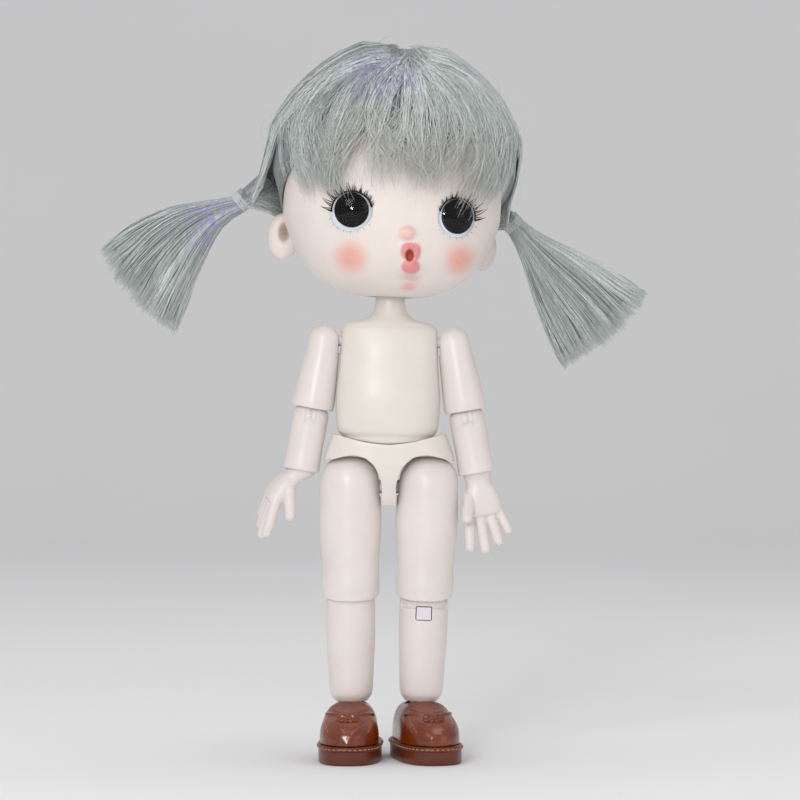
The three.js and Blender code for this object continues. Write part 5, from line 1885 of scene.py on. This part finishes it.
    def foot(self) -> Piece:
        """The foot inside the shoe, with the ankle's ball on its neck."""
        seat = self.sole_thickness + self.gap
        made = shift(self.shape(self.wall + self.gap * 2), Matrix.Translation((0, 0, seat + self.gap)))
        neck = rod("Z", self.neck, seat + self.gap * 2, self.ankle_height, 40)
        worked(made, Cut.JOIN, neck, ball(self.ankle_ball, (0, 0, self.ankle_height), sides=40))
        slot = self.ankle_peg.slot(self.ankle_ball * 2, -self.ankle_room, self.ankle_room)
        worked(made, Cut.AWAY, turned_by(slot, UPRIGHT_TO_BACK, (0, 0, self.ankle_height)))
        made.name = f"{self.side.value}_foot_form"
        return moulded(made, self.grain, 3)

    def build(self, kit: Kit, upper: Finish, sole: Finish, thread: Finish) -> None:
        """Adds the foot and the shoe."""
        word = self.side.value
        place = kit.stance.floor(self.side).moved(0, 0, 0, (0, 0, self.turn))
        rows = (
            (self.foot(), "limb_plastic", kit.skin, "foot", 40),
            (self.upper(), "shoe_upper", upper, "shoe_upper", 75),
            (self.sole(), "shoe_sole", sole, "shoe_sole", 35),
        )
        for piece, slot, finish, node, angle in rows:
            fitted(piece, place, f"{word}_foot", finish, [f"{word}_{node}"], angle)
        for piece, slot in ((self.vamp_stitches(), "shoe_upper"), (self.welt_stitches(), "shoe_sole")):
            fitted(piece, place, f"{word}_foot", thread, [], None)


# Hair


@dataclass
class Surface:
    """A form that strands are laid on."""

    tree: BVHTree

    @classmethod
    def of(cls, piece: Piece) -> Surface:
        """The surface of a mesh."""
        mesh = piece.data
        return cls(BVHTree.FromPolygons([v.co for v in mesh.vertices], [p.vertices for p in mesh.polygons]))

    @classmethod
    def left_by(cls, piece: Piece) -> Surface:
        """The surface of a piece that isn't needed otherwise, and goes."""
        made = cls.of(piece)
        bpy.data.objects.remove(piece)
        return made

    def below(self, x: float, y: float, high: float = 90.0) -> Triple:
        """The highest point over a place."""
        hit = self.tree.ray_cast(Vector((x, y, high)), Vector((0, 0, -1)))[0]
        return (x, y, hit.z if hit else 0.0)

    def outward(self, middle: Vector, away: Vector, far: float = 200.0) -> float:
        """How far the surface lies from a point inside it, in a direction, looked for from far outside."""
        distance = self.tree.ray_cast(middle + away * far, -away)[3]
        return far - distance if distance else 0.0


def arcs(start: Array, stop: Array, share: Array) -> Array:
    """Unit directions turned evenly from one to another.

    Args:
        start: Directions at the beginning, one for each strand.
        stop: Directions at the end.
        share: Shares of the way.

    Returns:
        An array of strands, shares and X, Y, Z.
    """
    angle = np.arccos(np.clip((start * stop).sum(axis=1), -0.9999, 0.9999))[:, None, None]
    near = np.sin((1 - share[None, :, None]) * angle) / np.sin(angle)
    far = np.sin(share[None, :, None] * angle) / np.sin(angle)
    return unit(near * start[:, None, :] + far * stop[:, None, :])


def unit(rows: Array) -> Array:
    """Rows scaled to length one."""
    return rows / np.linalg.norm(rows, axis=-1, keepdims=True)


def toned(rng: Random, locks: int, lock: Array, low: float, share: float, mean: float, spread: float) -> Array:
    """Tones of strands, each from its lock's and one of its own.

    Args:
        rng: Source of the unevenness.
        locks: The number of locks.
        lock: Each strand's lock.
        low: A lock's lowest tone, of 1.
        share: How much the lock's tone counts.
        mean: The middle of the strands' own tones.
        spread: Their spread.

    Returns:
        One number for each strand.
    """
    return np.clip(rng.uniform(low, 1, locks)[lock] * share + rng.normal(mean, spread, len(lock)), 0.02, 1)


def thinned(rng: Random, thickness: float, scale: tuple[float, float], count: int, t: Array, marks: Shares) -> Array:
    """Radii along strands of uneven thickness.

    Args:
        rng: Source of the unevenness.
        thickness: A strand's radius.
        scale: The lowest and highest scale of one strand.
        count: The number of strands.
        t: Places along a strand, from 0 to 1.
        marks: Pairs of a place and the share of the radius there.

    Returns:
        An array of strands and places.
    """
    places, shares = zip(*marks)
    return thickness * rng.uniform(*scale, count)[:, None] * np.interp(t, places, shares)


@dataclass(frozen=True)
class HairFinish:
    """Silver fibre with painted shade at the roots, pale strands, a few lavender ones and spots of painted highlight.
    """

    dark: Colour = (0.19, 0.215, 0.215)
    middle: Colour = (0.42, 0.465, 0.46)
    light: Colour = (0.80, 0.84, 0.82)
    spots: tuple[tuple[Vector, float, Colour], ...] = ()

    def build(self) -> Finish:
        """The material, which colours strands by their attributes 'tone' and 'along', the latter painting shade at the
        roots.
        """
        made = Shader("silver_fibre")
        streak = made.noise(0.0011, 3, (3.0, 3.0, 0.35))
        # Painted shade: through 'along' a strand is darker at its root and paler to its tip; a piece without these
        # attributes takes the darkest colours.
        paler = made.maths("ADD", made.attribute("tone"), made.ranged(made.attribute("along"), 0.0, 1.0, -0.1, 0.22))
        total = made.maths("ADD", paler, made.ranged(streak, 0.25, 0.75, -0.08, 0.3))
        colour = made.ramp(total, [(0.02, self.dark), (0.5, self.middle), (1.0, self.light)])
        for place, reach, tint in self.spots:
            away = made.maths("DISTANCE", made.place(), place, vector=True)
            near = made.ranged(away, reach * 0.3, reach, 0.75, 0, True)
            wisps = made.ranged(made.noise(0.0016, 2, (2.0, 2.0, 0.4)), 0.45, 0.6, 0, 1)
            colour = made.mixed(made.maths("MULTIPLY", near, wisps), colour, tint)
        made.feed("Base Color", colour)
        made.set(Roughness=0.36, Specular_IOR_Level=0.55, Sheen_Weight=0.15)
        made.relief(streak, 0.0001, 0.5)
        return made.material


@dataclass(frozen=True)
class Tail:
    """A side tail about its thread tie, spreading downward to jagged ends."""

    side: Side
    across: float
    through: float
    rise: float
    turn: Triple
    size: float
    root: float
    bow: float = 0.0
    length: float = 30.0
    width: float = 27.0
    depth: float = 14.0
    tie_width: float = 4.8
    tie_length: float = 3.0
    strands: int = 1500
    clumps: int = 90
    steps: int = 12
    thickness: float = 0.095
    turns: int = 6
    thread: float = 0.21
    shares: Shares = (
        (0, 0.17, 0.32), (0.14, 0.26, 0.46), (0.4, 0.54, 0.74), (0.7, 0.8, 0.94), (0.95, 1, 1),
    )

    def spread(self, drop: Array) -> tuple[Array, Array]:
        """The tail's half width and half depth at shares of its length."""
        table = np.array(self.shares)
        wide = np.interp(drop, table[:, 0], table[:, 1]) * self.width / 2
        deep = np.interp(drop, table[:, 0], table[:, 2]) * self.depth / 2
        return wide, deep

    def sway(self, drop: Array) -> Array:
        """How far the tail's middle line is bowed outward at shares of its length."""
        return self.side.sign * self.bow * np.sin(math.pi * drop**0.8)

    def strand_paths(self, rng: Random) -> Strands:
        """Paths, radii and tones of the tail's strands, about the tie."""
        count = self.strands
        angle = rng.uniform(0, 2 * math.pi, count)
        radius = 1 - 0.55 * rng.uniform(0, 1, count) ** 2
        spot = np.stack([radius * np.cos(angle), radius * np.sin(angle)], axis=-1)
        turn = rng.uniform(0, 2 * math.pi, self.clumps)
        reach = np.sqrt(rng.uniform(0.1, 1, self.clumps))
        hubs = np.stack([reach * np.cos(turn), reach * np.sin(turn)], axis=-1)
        nearest = np.argmin(((spot[:, None] - hubs[None]) ** 2).sum(axis=2), axis=1)
        trim = rng.uniform(0.95, 1.0, self.clumps)[nearest] * rng.uniform(0.96, 1.0, count)
        trim *= 1.06 - 0.07 * spot[:, 0] ** 2
        t = np.linspace(0, 1, self.steps)
        start, run = self.tie_length / 2 + 0.6, self.tie_length + 0.6 + self.length * self.size
        z = start - run * t[None, :] * trim[:, None]
        drop = np.clip((-self.tie_length / 2 - z) / (self.length * self.size), 0, 1)
        wide, deep = self.spread(drop)
        pull = 0.16 * drop**2
        u = spot[:, [0]] * (1 - pull) + hubs[nearest, 0][:, None] * pull
        v = spot[:, [1]] * (1 - pull) + hubs[nearest, 1][:, None] * pull
        phase = rng.uniform(0, 2 * math.pi, (2, self.clumps))[:, nearest, None] + rng.normal(0, 0.5, (2, count, 1))
        wave = drop * 0.35
        x = wide * u * 0.97 + wave * np.sin(drop * 9 + phase[0]) + self.sway(drop)
        y = deep * v * 0.97 + wave * np.sin(drop * 7 + phase[1])
        tone = toned(rng, self.clumps, nearest, 0.3, 0.4, 0.24, 0.12)
        radii = thinned(rng, self.thickness, (0.7, 1.2), count, t, ((0, 0.8), (0.1, 1), (0.8, 1), (1, 0.35)))
        return np.stack([x, y, z], axis=-1), radii, tone

    def core(self) -> Piece:
        """The dense middle of the tail, with the gathered root that runs to the cap."""
        start = -self.tie_length / 2
        rings = []
        root = self.tie_width / 2 * 0.74
        for rise in (self.root, self.root * 0.5, self.tie_length / 2):
            rings.append(Ring(rise, root, root, root))
        for drop, wide, deep in self.shares:
            half, through = self.width / 2 * wide * 0.86, self.depth / 2 * deep * 0.84
            sway = float(self.sway(np.array(drop * 0.93)))
            rings.append(Ring(start - self.length * self.size * drop * 0.93, half, through, through, 2, sway))
        low = start - self.length * self.size * 0.93
        return loft(f"{self.side.value}_tail_core", rings, self.root + 0.5, low, 40)

    def tie(self) -> Piece:
        """Thread wound round the tail's root."""
        count = self.turns * 24
        t = np.linspace(0, 1, count)
        radius = self.tie_width / 2 - self.thread * (1 + 0.8 * np.abs(2 * t - 1) ** 3)
        angle = 2 * math.pi * self.turns * t
        z = (0.5 - t) * (self.tie_length - 0.6 - self.thread * 2)
        coil = np.stack([radius * np.cos(angle), radius * np.sin(angle), z], axis=-1)
        cross = np.stack([radius * np.cos(-angle * 0.5), radius * np.sin(-angle * 0.5), -z * 0.9], axis=-1)
        cross[:, :2] *= 1.03
        return tubes(f"{self.side.value}_wound_thread", np.array([coil, cross]), np.full((2, count), self.thread), 8)

    def place(self, head: Place) -> Place:
        """Where the tie is."""
        return head.moved(self.across, self.through, self.rise, self.turn)

    def build(self, kit: Kit, hair: Finish, thread: Finish, rng: Random) -> None:
        """Adds the tail and its tie."""
        word = self.side.value
        place = self.place(kit.stance.head())
        paths, radii, tones = self.strand_paths(rng)
        strands = tubes(f"{word}_tail_strands", paths, radii, 3, tones)
        # The core has no 'tone' or 'along', so the fibre finish paints it dark, as shade under the strands.
        fitted(self.core(), place, "head", hair, [f"{word}_side_tail"], 60)
        fitted(strands, place, "head", hair, [], None)
        fitted(self.tie(), place, "head", thread, [f"{word}_hair_tie"], None)


@dataclass(frozen=True)
class Hair:
    """The hair on the head: a cap, strands swept from the parting to the ties, a fringe and loose hairs."""

    width: float = 57.0
    height: float = 56.5
    front: float = 25.0
    back: float = 27.0
    chin: float = 3.4
    offset: float = -0.6
    round: float = 2.2
    hairline: float = 34.0
    slope: float = 29.0
    sunk: float = 0.9
    gap: float = 0.3
    middle: Triple = (-0.6, 1.0, 20.0)
    part_from: float = 58.0
    part_to: float = 205.0
    drape: float = 0.3
    sweep_strands: int = 1500
    sweep_steps: int = 14
    sweep_locks: int = 70
    fringe_strands: int = 1700
    fringe_steps: int = 14
    fringe_locks: int = 34
    fringe_from: float = 50.0
    fringe_to: float = 74.0
    loose_strands: int = 130
    loose_steps: int = 9
    thickness: float = 0.095
    shares: Shares = (
        (0.975, 0.36, 0.38, 0.36), (0.92, 0.56, 0.58, 0.56), (0.84, 0.74, 0.76, 0.74),
        (0.74, 0.88, 0.9, 0.87), (0.62, 0.98, 0.98, 0.95), (0.5, 0.97, 1, 0.99), (0.38, 0.9, 1, 1),
        (0.24, 0.86, 0.97, 0.96), (0.12, 0.82, 0.94, 0.9),
    )
    fringe_ends: Shares = (
        (-25.5, 19), (-20.5, 17), (-13, 17.5), (-6.5, 18.8), (4, 20.4), (11, 18.6), (17, 17), (24, 18),
    )

    def shape(self, grown: float) -> Piece:
        """The hair's outer form, swelled or drawn in."""
        rings = [
            Ring(-self.chin + self.height * rise + grown * (rise - 0.3), (self.width / 2 + grown) * wide,
                 (self.front + grown) * front, (self.back + grown) * back, self.round, self.offset)
            for rise, wide, front, back in self.shares
        ]
        return loft("hair", rings, self.height - self.chin + grown, rings[-1].z, 96)

    def below_hairline(self) -> Piece:
        """Everything under the plane that falls from the front hairline to the nape."""
        wide = self.width * 2
        tool = block((-wide, -wide, -self.height * 3), (wide, wide, 0))
        return turned_by(tool, (-self.slope, 0, 0), (0, -self.front, self.hairline))

    def cap(self, head: Head) -> Piece:
        """The dense layer under the strands, from the hairline to the nape."""
        made = self.shape(-self.sunk)
        ears = (head.ear(side, self.gap) for side in Side)
        worked(made, Cut.AWAY, head.shape(self.gap, 96), *ears, self.below_hairline())
        made.name = "cap_under_layer"
        return made

    def laid(self, surface: Surface, ways: Array, lift: Array) -> Array:
        """Points along directions from the head's middle, lifted off the hair's outer form."""
        middle = Vector(self.middle)
        flat = ways.reshape(-1, 3)
        reach = np.array([surface.outward(middle, Vector(way)) for way in flat]).reshape(ways.shape[:2])
        return np.array(self.middle) + ways * (reach + lift)[:, :, None]

    def swept(self, surface: Surface, tail: Tail, rng: Random) -> Strands:
        """Strands from the parting over one side of the head into the tie."""
        count, locks = self.sweep_strands, self.sweep_locks
        root = np.sort(rng.uniform(0, 1, count))
        lock = (root * locks).astype(int)
        angle = np.radians(self.part_from + (self.part_to - self.part_from) * root)
        wander = 0.02 + 0.012 * np.sin(angle * 5) + rng.uniform(-0.01, 0.02, count)
        start = unit(np.stack([tail.side.sign * wander, -np.cos(angle), np.sin(angle)], axis=-1))
        tie = np.array([tail.across, tail.through, tail.rise])
        aim = unit(tie - np.array(self.middle))
        stop = unit(aim + rng.normal(0, 0.035, (count, 3)))
        t = np.linspace(0, 1, self.sweep_steps)
        ways = arcs(start, stop, t)
        hump = np.sin(math.pi * t)[None, :]
        sag = hump * (rng.uniform(-0.02, 0.02, count) + rng.uniform(-0.02, 0.02, locks)[lock])[:, None]
        ways[:, :, 1] += sag - self.drape * ((1 - root) ** 3)[:, None] * hump
        ways = unit(ways)
        high = rng.uniform(-0.35, 0.2, count)[:, None] + rng.uniform(-0.1, 0.3, locks)[lock][:, None]
        groove = (0.55 * np.exp(-(((t - 0.16) / 0.1) ** 2)) - 1.1 * np.exp(-((t / 0.055) ** 2)))[None, :]
        paths = self.laid(surface, ways, high * np.interp(t, [0, 0.15, 0.8, 1], [0.3, 1, 1, 0.2]) + groove)
        ring = rng.uniform(0, 2 * math.pi, count)
        knot = tie - aim * 1.5 + np.stack([np.zeros(count), 1.6 * np.cos(ring), 1.6 * np.sin(ring)], axis=-1)
        gather = np.clip((t - 0.74) / 0.26, 0, 1)
        gather = (gather**2 * (3 - 2 * gather))[None, :, None]
        paths = paths * (1 - gather) + knot[:, None, :] * gather
        tone = toned(rng, locks, lock, 0.2, 0.5, 0.26, 0.14)
        radii = thinned(rng, self.thickness, (0.7, 1.25), count, t, ((0, 0.6), (0.1, 1), (0.9, 1), (1, 0.8)))
        return paths, radii, tone

    def fringe(self, surface: Surface, rng: Random) -> Strands:
        """Strands that fall over the forehead to wispy, curled ends."""
        count, locks = self.fringe_strands, self.fringe_locks
        share = np.sort(rng.uniform(0, 1, count))
        lock = (share * locks).astype(int)
        ends = np.array(self.fringe_ends)
        mark = np.linspace(0, 1, len(ends))
        mid = (lock + 0.5) / locks
        side = 2 * share - 1
        rise = self.fringe_from + (self.fringe_to - self.fringe_from) * np.abs(side) ** 0.7
        angle = np.radians(rise + rng.normal(0, 5, count))
        start = unit(np.stack([side * 0.16 + rng.normal(0, 0.025, count), -np.cos(angle), np.sin(angle)], axis=-1))
        pulled = share * 0.35 + mid * 0.65
        end_x = np.interp(pulled, mark, ends[:, 0]) + rng.normal(0, 0.9, count) + rng.normal(0, 1.1, locks)[lock]
        end_z = np.interp(pulled, mark, ends[:, 1]) + rng.normal(0.6, 1.0, count) + rng.normal(0.3, 1.1, locks)[lock]
        end_z += rng.uniform(0, 1, count) ** 1.6 * 9 - 0.8
        centre = np.array(self.middle)

        def ways_to(x: Array, z: Array) -> Array:
            """Directions from the head's middle to places on the forehead."""
            y = -np.sqrt(np.clip(1 - (x / (self.width / 2)) ** 2, 0.12, 1)) * self.front
            return unit(np.stack([x, y, z], axis=-1) - centre)

        t = np.linspace(0, 1, self.fringe_steps)
        hump = np.sin(math.pi * t)[None, :]
        ways = arcs(start, ways_to(end_x, end_z), t)
        curl = rng.normal(0, 0.15, locks)[lock] + rng.normal(0, 0.07, count)
        bow = (mid - 0.5) * 0.9
        ways[:, :, 0] += curl[:, None] * (np.sin(t * 5.2) * t**2)[None, :] * 1.3 + bow[:, None] * hump
        lift = rng.uniform(-0.5, 0.3, count)[:, None] + hump * rng.uniform(0, 0.5, count)[:, None]
        tuck = rng.uniform(0.2, 2.2, count)[:, None] * (t**2)[None, :]
        paths = self.laid(surface, unit(ways), lift - tuck)
        tone = toned(rng, locks, lock, 0.3, 0.5, 0.4, 0.15)
        radii = thinned(rng, self.thickness, (0.6, 1.1), count, t, ((0, 0.6), (0.1, 1), (0.7, 0.75), (1, 0.3)))
        return paths, radii, tone

    def loose(self, surface: Surface, rng: Random) -> Strands:
        """Short flyaway hairs round the crown."""
        count = self.loose_strands
        turn, tall = rng.uniform(0, 2 * math.pi, count), rng.uniform(0.15, 0.98, count)
        flat = np.sqrt(1 - tall**2)
        start = np.stack([flat * np.cos(turn), flat * np.sin(turn), tall], axis=-1)
        stop = unit(start + rng.normal(0, 0.24, (count, 3)))
        t = np.linspace(0, 1, self.loose_steps)
        lift = np.sin(t * rng.uniform(1.2, 3.0, count)[:, None]) * rng.uniform(0.5, 2.3, count)[:, None]
        paths = self.laid(surface, arcs(start, stop, t), lift)
        radii = np.full((count, 1), self.thickness * 0.42) * np.interp(t, [0, 1], [1, 0.5])
        return paths, radii, rng.uniform(0.4, 1, count)

    def build(self, kit: Kit, head: Head, tails: Sequence[Tail], hair: Finish, rng: Random) -> None:
        """Adds the hair on the head."""
        place = kit.stance.head()
        surface = Surface.left_by(self.shape(0))
        # The cap has no 'tone' or 'along', so the fibre finish paints it dark, as shade under the strands.
        fitted(self.cap(head), place, "head", hair, ["hair_cap"], 60)
        layers = [(f"{tail.side.value}_swept_hair", self.swept(surface, tail, rng), []) for tail in tails]
        layers.append(("fringe_strands", self.fringe(surface, rng), ["hair_fringe"]))
        layers.append(("loose_hairs", self.loose(surface, rng), []))
        for name, (paths, radii, tones), nodes in layers:
            fitted(tubes(name, paths, radii, 3, tones), place, "head", hair, nodes, None)


# The studio


@dataclass(frozen=True)
class Lamp:
    """A soft square light aimed at the doll, placed from its middle in metres."""

    name: str
    place: Triple
    size: float
    power: float
    colour: Colour = (1.0, 1.0, 1.0)

    def build(self, target: Vector) -> None:
        """Adds the light.

        Args:
            target: The point that it is aimed at.
        """
        light = bpy.data.lights.new(self.name, "AREA")
        light.shape = "SQUARE"
        light.size = self.size
        light.energy = self.power
        light.color = self.colour
        lamp = bpy.data.objects.new(self.name, light)
        lamp.location = target + Vector(self.place)
        lamp.rotation_euler = (target - lamp.location).to_track_quat("-Z", "Y").to_euler()
        bpy.context.scene.collection.objects.link(lamp)


@dataclass(frozen=True)
class Studio:
    """Floor, backdrop, lights and the camera."""

    camera_side: float = 2.44
    camera_distance: float = 650.0
    camera_height: float = 79.0
    picture_width: float = 177.3
    sensor: float = 36.0
    floor_reach: float = 3.0
    sweep_distance: float = 0.9
    sweep_radius: float = 0.5
    wall_height: float = 2.4
    ambient: float = 0.5
    lamps: tuple[Lamp, ...] = (
        Lamp("key_light", (-0.35, -0.75, 0.55), 0.45, 1.7),
        Lamp("catch_light", (-0.16, -0.75, 0.17), 0.14, 1.5),
        Lamp("fill_light", (0.75, -0.6, 0.25), 0.6, 0.7),
        Lamp("top_light", (0.05, 0.1, 0.8), 0.5, 1.4),
    )

    def backdrop(self) -> Piece:
        """A pale floor that curves up into a wall behind the doll."""
        profile = [(-self.floor_reach, 0.0), (self.sweep_distance, 0.0)]
        steps = 12
        for step in range(1, steps + 1):
            angle = math.pi / 2 * step / steps
            profile.append(
                (self.sweep_distance + self.sweep_radius * math.sin(angle), self.sweep_radius * (1 - math.cos(angle)))
            )
        profile.append((profile[-1][0], self.wall_height))
        points = [(x, y, z) for y, z in profile for x in (-self.floor_reach, self.floor_reach)]
        faces = [(2 * n, 2 * n + 1, 2 * n + 3, 2 * n + 2) for n in range(len(profile) - 1)]
        floor = mesh_object("studio_floor", points, faces)
        floor.data.shade_smooth()
        paper = Shader("studio_paper")
        paper.set(Roughness=0.85)
        paper.mottle(0.4, 3, (0.3, (0.9, 0.9, 0.91)), (0.7, (0.93, 0.93, 0.94)))
        paper.relief(paper.noise(0.0008, 2), 0.00003, 0.3)
        floor.data.materials.append(paper.material)
        floor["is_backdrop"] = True
        return floor

    def camera(self, centre: Vector) -> None:
        """The camera at the photograph's own angle, level and square to the doll.

        Args:
            centre: The point of the floor between the doll's feet that it is measured from.
        """
        data = bpy.data.cameras.new("camera")
        data.sensor_width = self.sensor
        data.lens = self.sensor * self.camera_distance / self.picture_width
        data.clip_start = 0.01
        camera = bpy.data.objects.new("camera", data)
        camera.location = centre + Vector((self.camera_side, -self.camera_distance, self.camera_height)) * MM
        camera.rotation_euler = (math.pi / 2, 0, 0)
        bpy.context.scene.collection.objects.link(camera)
        bpy.context.scene.camera = camera

    def world(self) -> None:
        """Even white light from all round."""
        world = bpy.data.worlds.new("studio")
        world.use_nodes = True
        background = world.node_tree.nodes["Background"]
        background.inputs["Color"].default_value = (1.0, 1.0, 1.0, 1.0)
        background.inputs["Strength"].default_value = self.ambient
        bpy.context.scene.world = world

    def build(self, centre: Vector, middle: Vector) -> None:
        """Adds everything that isn't the doll.

        Args:
            centre: The point of the floor between the doll's feet.
            middle: The middle of the doll.
        """
        self.backdrop()
        self.camera(centre)
        self.world()
        for lamp in self.lamps:
            lamp.build(middle)
        bpy.context.scene.view_settings.view_transform = "Standard"


def main() -> None:
    """Builds the doll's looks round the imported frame, and the studio."""
    logging.basicConfig(level=logging.INFO, format="%(name)s: %(message)s")
    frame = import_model()
    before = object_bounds()
    low, high = before
    waist = next(joint for joint in frame["joints"] if joint["name"] == "waist_turn")
    centre = Vector((waist["pos_m"][0], waist["pos_m"][1], 0))
    Studio().build(centre, (low + high) / 2)
    skin = Plastic("limb_plastic", (0.81, 0.745, 0.72), (0.77, 0.70, 0.675), 0.33).build()
    body = Plastic("body_plastic", (0.80, 0.755, 0.695), (0.76, 0.71, 0.65), 0.37).build()
    peg = Plastic("peg_plastic", (0.80, 0.75, 0.80), (0.74, 0.69, 0.74)).build()
    kit = Kit(Stance.of_frame(frame), skin, body, peg)
    legs = [Leg(side) for side in Side]
    arms = [Arm(side) for side in Side]
    torso = Torso()
    for piece in (*legs, *arms):
        piece.build(kit)
    torso.build(kit, arms[0].shoulder_peg)
    Pelvis().build(kit, legs[0].hip_peg, torso.waist_peg)
    rng = np.random.default_rng(SEED)
    head = Head()
    face = FaceFinish(Plastic("face_plastic", (0.85, 0.765, 0.72), (0.81, 0.725, 0.68), 0.46), FACE_DABS)
    head.build(kit, face.build(kit.stance.head()))
    white = Plastic("eye_white", (0.78, 0.82, 0.90), (0.72, 0.77, 0.86), 0.15, 0.1).build()
    lash = Plastic("lash_fibre", (0.012, 0.010, 0.010), (0.006, 0.005, 0.005), 0.55, 0.0).build()
    finishes = (white, IrisFinish().build(), GlassFinish().build(), lash)
    for side in Side:
        Eye(side).build(kit, head, finishes, rng)
    leather = LeatherFinish("shoe_upper", (0.13, 0.017, 0.002), (0.23, 0.037, 0.004), 0.22, 0.4).build()
    sole = LeatherFinish("shoe_sole", (0.09, 0.014, 0.003), (0.14, 0.025, 0.005), 0.34, 0.1).build()
    stitching = Plastic("shoe_stitching", (0.42, 0.17, 0.06), (0.34, 0.12, 0.04), 0.5, 0.1).build()
    for side in Side:
        Shoe(side).build(kit, leather, sole, stitching)
    place = kit.stance.head()
    tails = (
        Tail(Side.LEFT, 29.097, 10.503, 15.499, (0.4, -44, -9.2), 1.04, 5.2),
        Tail(Side.RIGHT, -33.261, 10.26, 16.855, (0.4, 45, -8.7), 1.0, 8.0, 3.2),
    )
    # The cream spots on the fringe are painted highlights; the lavender ones are dye.
    lavender, painted_fringe_highlight = (0.42, 0.38, 0.66), (0.62, 0.58, 0.50)
    spots = (
        (place.at(-7, -17, 44), 0.012, lavender),
        (place.at(-38, 11, 12), 0.012, lavender),
        (place.at(-8, -24, 26), 0.017, painted_fringe_highlight),
        (place.at(10, -24, 24), 0.014, painted_fringe_highlight),
    )
    fibre = HairFinish(spots=spots).build()
    thread = Plastic("tie_thread", (0.62, 0.64, 0.66), (0.5, 0.52, 0.54), 0.6, 0.1).build()
    Hair().build(kit, head, tails, fibre, rng)
    for tail in tails:
        tail.build(kit, fibre, thread, rng)


if __name__ == "__main__":
    main()
